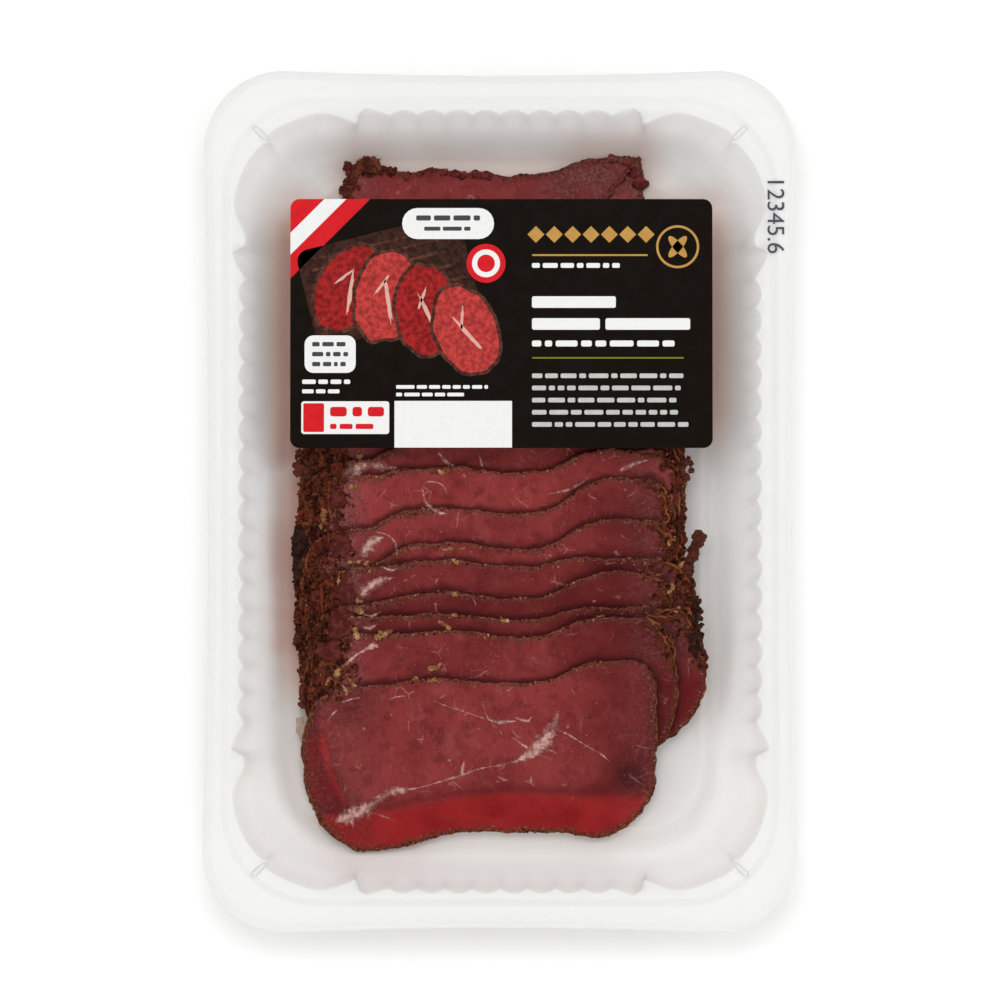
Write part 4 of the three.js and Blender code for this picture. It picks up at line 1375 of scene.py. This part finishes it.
def make_lumps(slices, dark_bark):
    """Lumps of bark, some nearly black, that stand out past the slices' sides."""
    draw = random.Random(12)
    lumps = Crumbs(2, 0.7, draw)
    for x, y, half_x, half_y, count, tone in BARK_LUMPS:
        for _ in range(count):
            angle, reach = draw.uniform(0, math.tau), math.sqrt(draw.random())
            spot_x, spot_y = x + half_x * reach * math.cos(angle), y + half_y * reach * math.sin(angle)
            z = rim_height(slices, spot_x, spot_y)
            size = draw.uniform(0.3, 0.75)
            rise = (1 - reach * reach) * 0.7
            own = min(max(tone + draw.uniform(-0.2, 0.2), 0.0), 1.0)
            lumps.add((spot_x, spot_y, z + rise), (size * 1.2, size, size * 0.8), tone=own)
    lumps.finish("dark_bark", dark_bark)


def make_nodules(slices, nodule, rim_flesh):
    """The first slice's upper edge: brown knobs at its left corner, then lobes of flesh like bricks, and
    two large lobes at its right corner."""
    draw = random.Random(14)
    knobs = Crumbs(3, 1.0, draw)
    lobes = Crumbs(3, 0.7, draw)
    first = slices[0]
    high = first.rim[:, 1].max()
    edge_z = drop_on(slices, first.middle[0], high - 6)[1].z
    i = 0
    while i < RIM_POINTS:
        x, y = first.rim[i]
        along = math.atan2(-first.outward[i][0], first.outward[i][1])
        x, y = first.rim[i] - first.outward[i] * (draw.uniform(0.0, 1.6) if x < -26 else 0.9)
        found = drop_on(slices, x, y)
        z = found[1].z if found else edge_z
        if y > high - 16 and x < -26:
            size = draw.uniform(0.45, 1.1)
            knobs.add((x, y, z - size * 0.25), (size * draw.uniform(0.9, 1.5), size, size * 0.7))
            i += draw.randrange(1, 3)
        elif y > high - 16 and x < -3:
            size = draw.uniform(0.8, 1.15)
            lobes.add((x, y, z - size * 0.2), (size * draw.uniform(1.1, 1.6), size, size * 0.4), along)
            i += draw.randrange(5, 10)
        else:
            i += 1
    for x, y, size in CORNER_KNOBS:
        crumbs = knobs if x < 0 else lobes
        crumbs.add((x, y, edge_z - 0.15), (size, size * 0.9, size * 0.35))
    knobs.finish("rim_nodules", nodule)
    lobes.finish("rim_lobes", rim_flesh)


def make_spice(slices, spice):
    """Spice grains as small broken clusters, with finer specks along the rims."""
    draw = random.Random(23)
    grains = Crumbs(2, 1.0, draw)
    for x, y, length, width, turn in SPICE_GRAINS:
        angle = math.radians(turn)
        pieces = 2 + round(length / width)
        for k in range(pieces):
            along = (k / (pieces - 1) - 0.5) * (length - width * 0.7)
            side = draw.uniform(-0.25, 0.25) * width
            spot_x = x + along * math.cos(angle) - side * math.sin(angle)
            spot_y = y + along * math.sin(angle) + side * math.cos(angle)
            found = drop_on(slices, spot_x, spot_y)
            if found:
                size = width * draw.uniform(0.3, 0.5)
                half = (size * draw.uniform(1, 1.5), size, size * 0.6)
                turned = angle + draw.uniform(-0.8, 0.8)
                grains.add(found[1] + Vector((0, 0, size * 0.25)), half, turned, draw.random() ** 0.4)
    specks = 0
    while specks < SPECKS:
        item = slices[draw.randrange(FIRST_SHOWN, len(slices))]
        i = draw.randrange(RIM_POINTS)
        x, y = item.rim[i] - item.outward[i] * (1.6 * draw.random() ** 1.5)
        found = drop_on(slices, x, y)
        if found and found[0] is item:
            size = draw.uniform(0.08, 0.22)
            grains.add(found[1] + Vector((0, 0, size * 0.2)), (size * draw.uniform(1, 2.4), size, size * 0.6))
            specks += 1
    grains.finish("spice_grains", spice)


def add_tube(shape, centres, radii, tone, tones, sides=6):
    """Adds a closed tube through these centres, a little taller than wide, with a tone at each."""
    run = None
    for k, (centre, radius) in enumerate(zip(centres, radii)):
        ahead = centres[min(k + 1, len(centres) - 1)] - centres[max(k - 1, 0)]
        across = ahead.cross(Vector((0, 0, 1))).normalized()
        places = []
        for j in range(sides):
            turn = math.tau * j / sides
            places.append(centre + (across * math.cos(turn) + Vector((0, 0, 1.3 * math.sin(turn)))) * radius)
        first = run is None
        run = start_run(shape, places) if first else grow_run(shape, run, places)
        for vertex in run:
            vertex[tone] = tones[k]
        if first:
            shape.faces.new(run)
    shape.faces.new(run)


def make_frills(slices, golden):
    """The rind at the right ends of the slices: thin golden edges that wind in and out in small lobes.
    Low on the right, and on the last slice, it is a plain thread along the rim."""
    draw = random.Random(31)
    shape = bmesh.new()
    tone = shape.verts.layers.float.new("tone")
    for item in slices[FIRST_SHOWN - 1:]:
        last = item is slices[-1]
        legs = np.linalg.norm(np.roll(item.rim, -1, axis=0) - item.rim, axis=1)
        for strand, inset in enumerate(FRILL_INSETS):
            phase, shift = draw.uniform(0, math.tau), draw.uniform(-0.5, 0.5)
            centres, radii, tones = [], [], []
            step = 0.0
            while step < RIM_POINTS:
                i = int(step)
                spot = mix(item.rim[i], item.rim[(i + 1) % RIM_POINTS], step - i)
                outward = item.outward[i]
                frilled = 0.0 if last else float(smooth((spot[1] + 44) / 8))
                shown = spot[0] > 35.5 and -74 < spot[1] < 14 and (frilled > 0.5 or strand == 0)
                phase += math.pi / FRILL_PITCH * legs[i] / 2 * draw.uniform(0.5, 1.5)
                reach = FRILL_REACH * (0.15 + 0.85 * frilled)
                spot = spot - outward * (frilled * (inset + shift) + reach * (1 - abs(math.sin(phase))))
                spot = spot - np.array([-outward[1], outward[0]]) * 0.5 * frilled * math.sin(2 * phase)
                found = drop_on(slices, *spot) if shown else None
                step += 0.5
                if found and found[0] is item:
                    centres.append(found[1] + Vector((0, 0, 0.12 + 0.2 * frilled * math.sin(phase * 0.7))))
                    radii.append(draw.uniform(0.14, 0.22) + draw.uniform(0.1, 0.18) * frilled)
                    gold = 0.4 + 1.3 * noise.noise(Vector((spot[0] * 0.3, spot[1] * 0.3, strand * 5)))
                    tones.append(min(max(gold, 0.0), 1.0))
                if centres and (not found or found[0] is not item or len(centres) > draw.uniform(12, 90)):
                    if len(centres) > 4:
                        add_tube(shape, centres, radii, tone, tones)
                    centres, radii, tones = [], [], []
    bmesh.ops.recalc_face_normals(shape, faces=shape.faces)
    fit_piece(object_from("rind_frills", shape, golden), "meat")


def make_last_rim(item, slices, golden):
    """Golden-brown crumbs along the left and lower rim of the last slice."""
    draw = random.Random(47)
    crumbs = Crumbs(2, 0.7, draw)
    for i in range(RIM_POINTS):
        x, y = item.rim[i]
        if y > -50 or (x > 25 and y > -72):
            continue
        for _ in range(2):
            x, y = item.rim[i] - item.outward[i] * draw.uniform(0.05, 0.9)
            found = drop_on(slices, x, y)
            if found and draw.random() < 0.8:
                size = draw.uniform(0.1, 0.26)
                along = math.atan2(-item.outward[i][0], item.outward[i][1]) + draw.uniform(-0.6, 0.6)
                half = (size * draw.uniform(1, 1.9), size, size * 0.7)
                crumbs.add(found[1] + Vector((0, 0, size * 0.1)), half, along, draw.random())
    crumbs.finish("last_rim", golden)


def make_floor():
    shape = bmesh.new()
    bmesh.ops.create_grid(shape, x_segments=2, y_segments=2, size=1.5)
    object_from("floor", shape, pale_floor())


camera_and_light()
make_floor()
slices = [Slice(index) for index in range(len(SLICE_NODES))]
plain_plastic = white_plastic("plain_plastic")
# the last colour is the painted reflection of the meat and its painted shadow on the white
make_tray(white_plastic("tray_plastic", 0.85, (0.58, 0.37, 0.315)), plain_plastic, slices)
make_ribs(plain_plastic)
make_film(clear_film())
make_label()
make_digits(ink("digit_ink", (0.075, 0.075, 0.095)))
meat = cured_meat()
for item in slices:
    make_slice(item, slices, meat)
make_fat(slices, fat_material())
bark = rind_material("bark", (0.022, 0.0048, 0.0034), (0.23, 0.062, 0.026))
make_bark(slices, bark)
make_ridges(slices, bark)
make_lobes(slices, lobe_material("lobe_flesh", (0.058, 0.009, 0.008), (0.125, 0.023, 0.019)))
make_lumps(slices, rind_material("dark_bark", (0.016, 0.011, 0.010), (0.13, 0.036, 0.022), 0.2))
make_flap(rind_material("pale_skin", (0.50, 0.37, 0.30), (0.68, 0.55, 0.46), 0.04))
nodule = rind_material("nodule", (0.085, 0.017, 0.013), (0.21, 0.062, 0.036), 0.3)
make_nodules(slices, nodule, lobe_material("rim_flesh", (0.085, 0.012, 0.011), (0.17, 0.030, 0.027)))
make_spice(slices, spice_material())
golden = rind_material("golden_rind", (0.085, 0.022, 0.011), (0.29, 0.092, 0.035), 0.2)
make_frills(slices, golden)
make_last_rim(slices[-1], slices, golden)
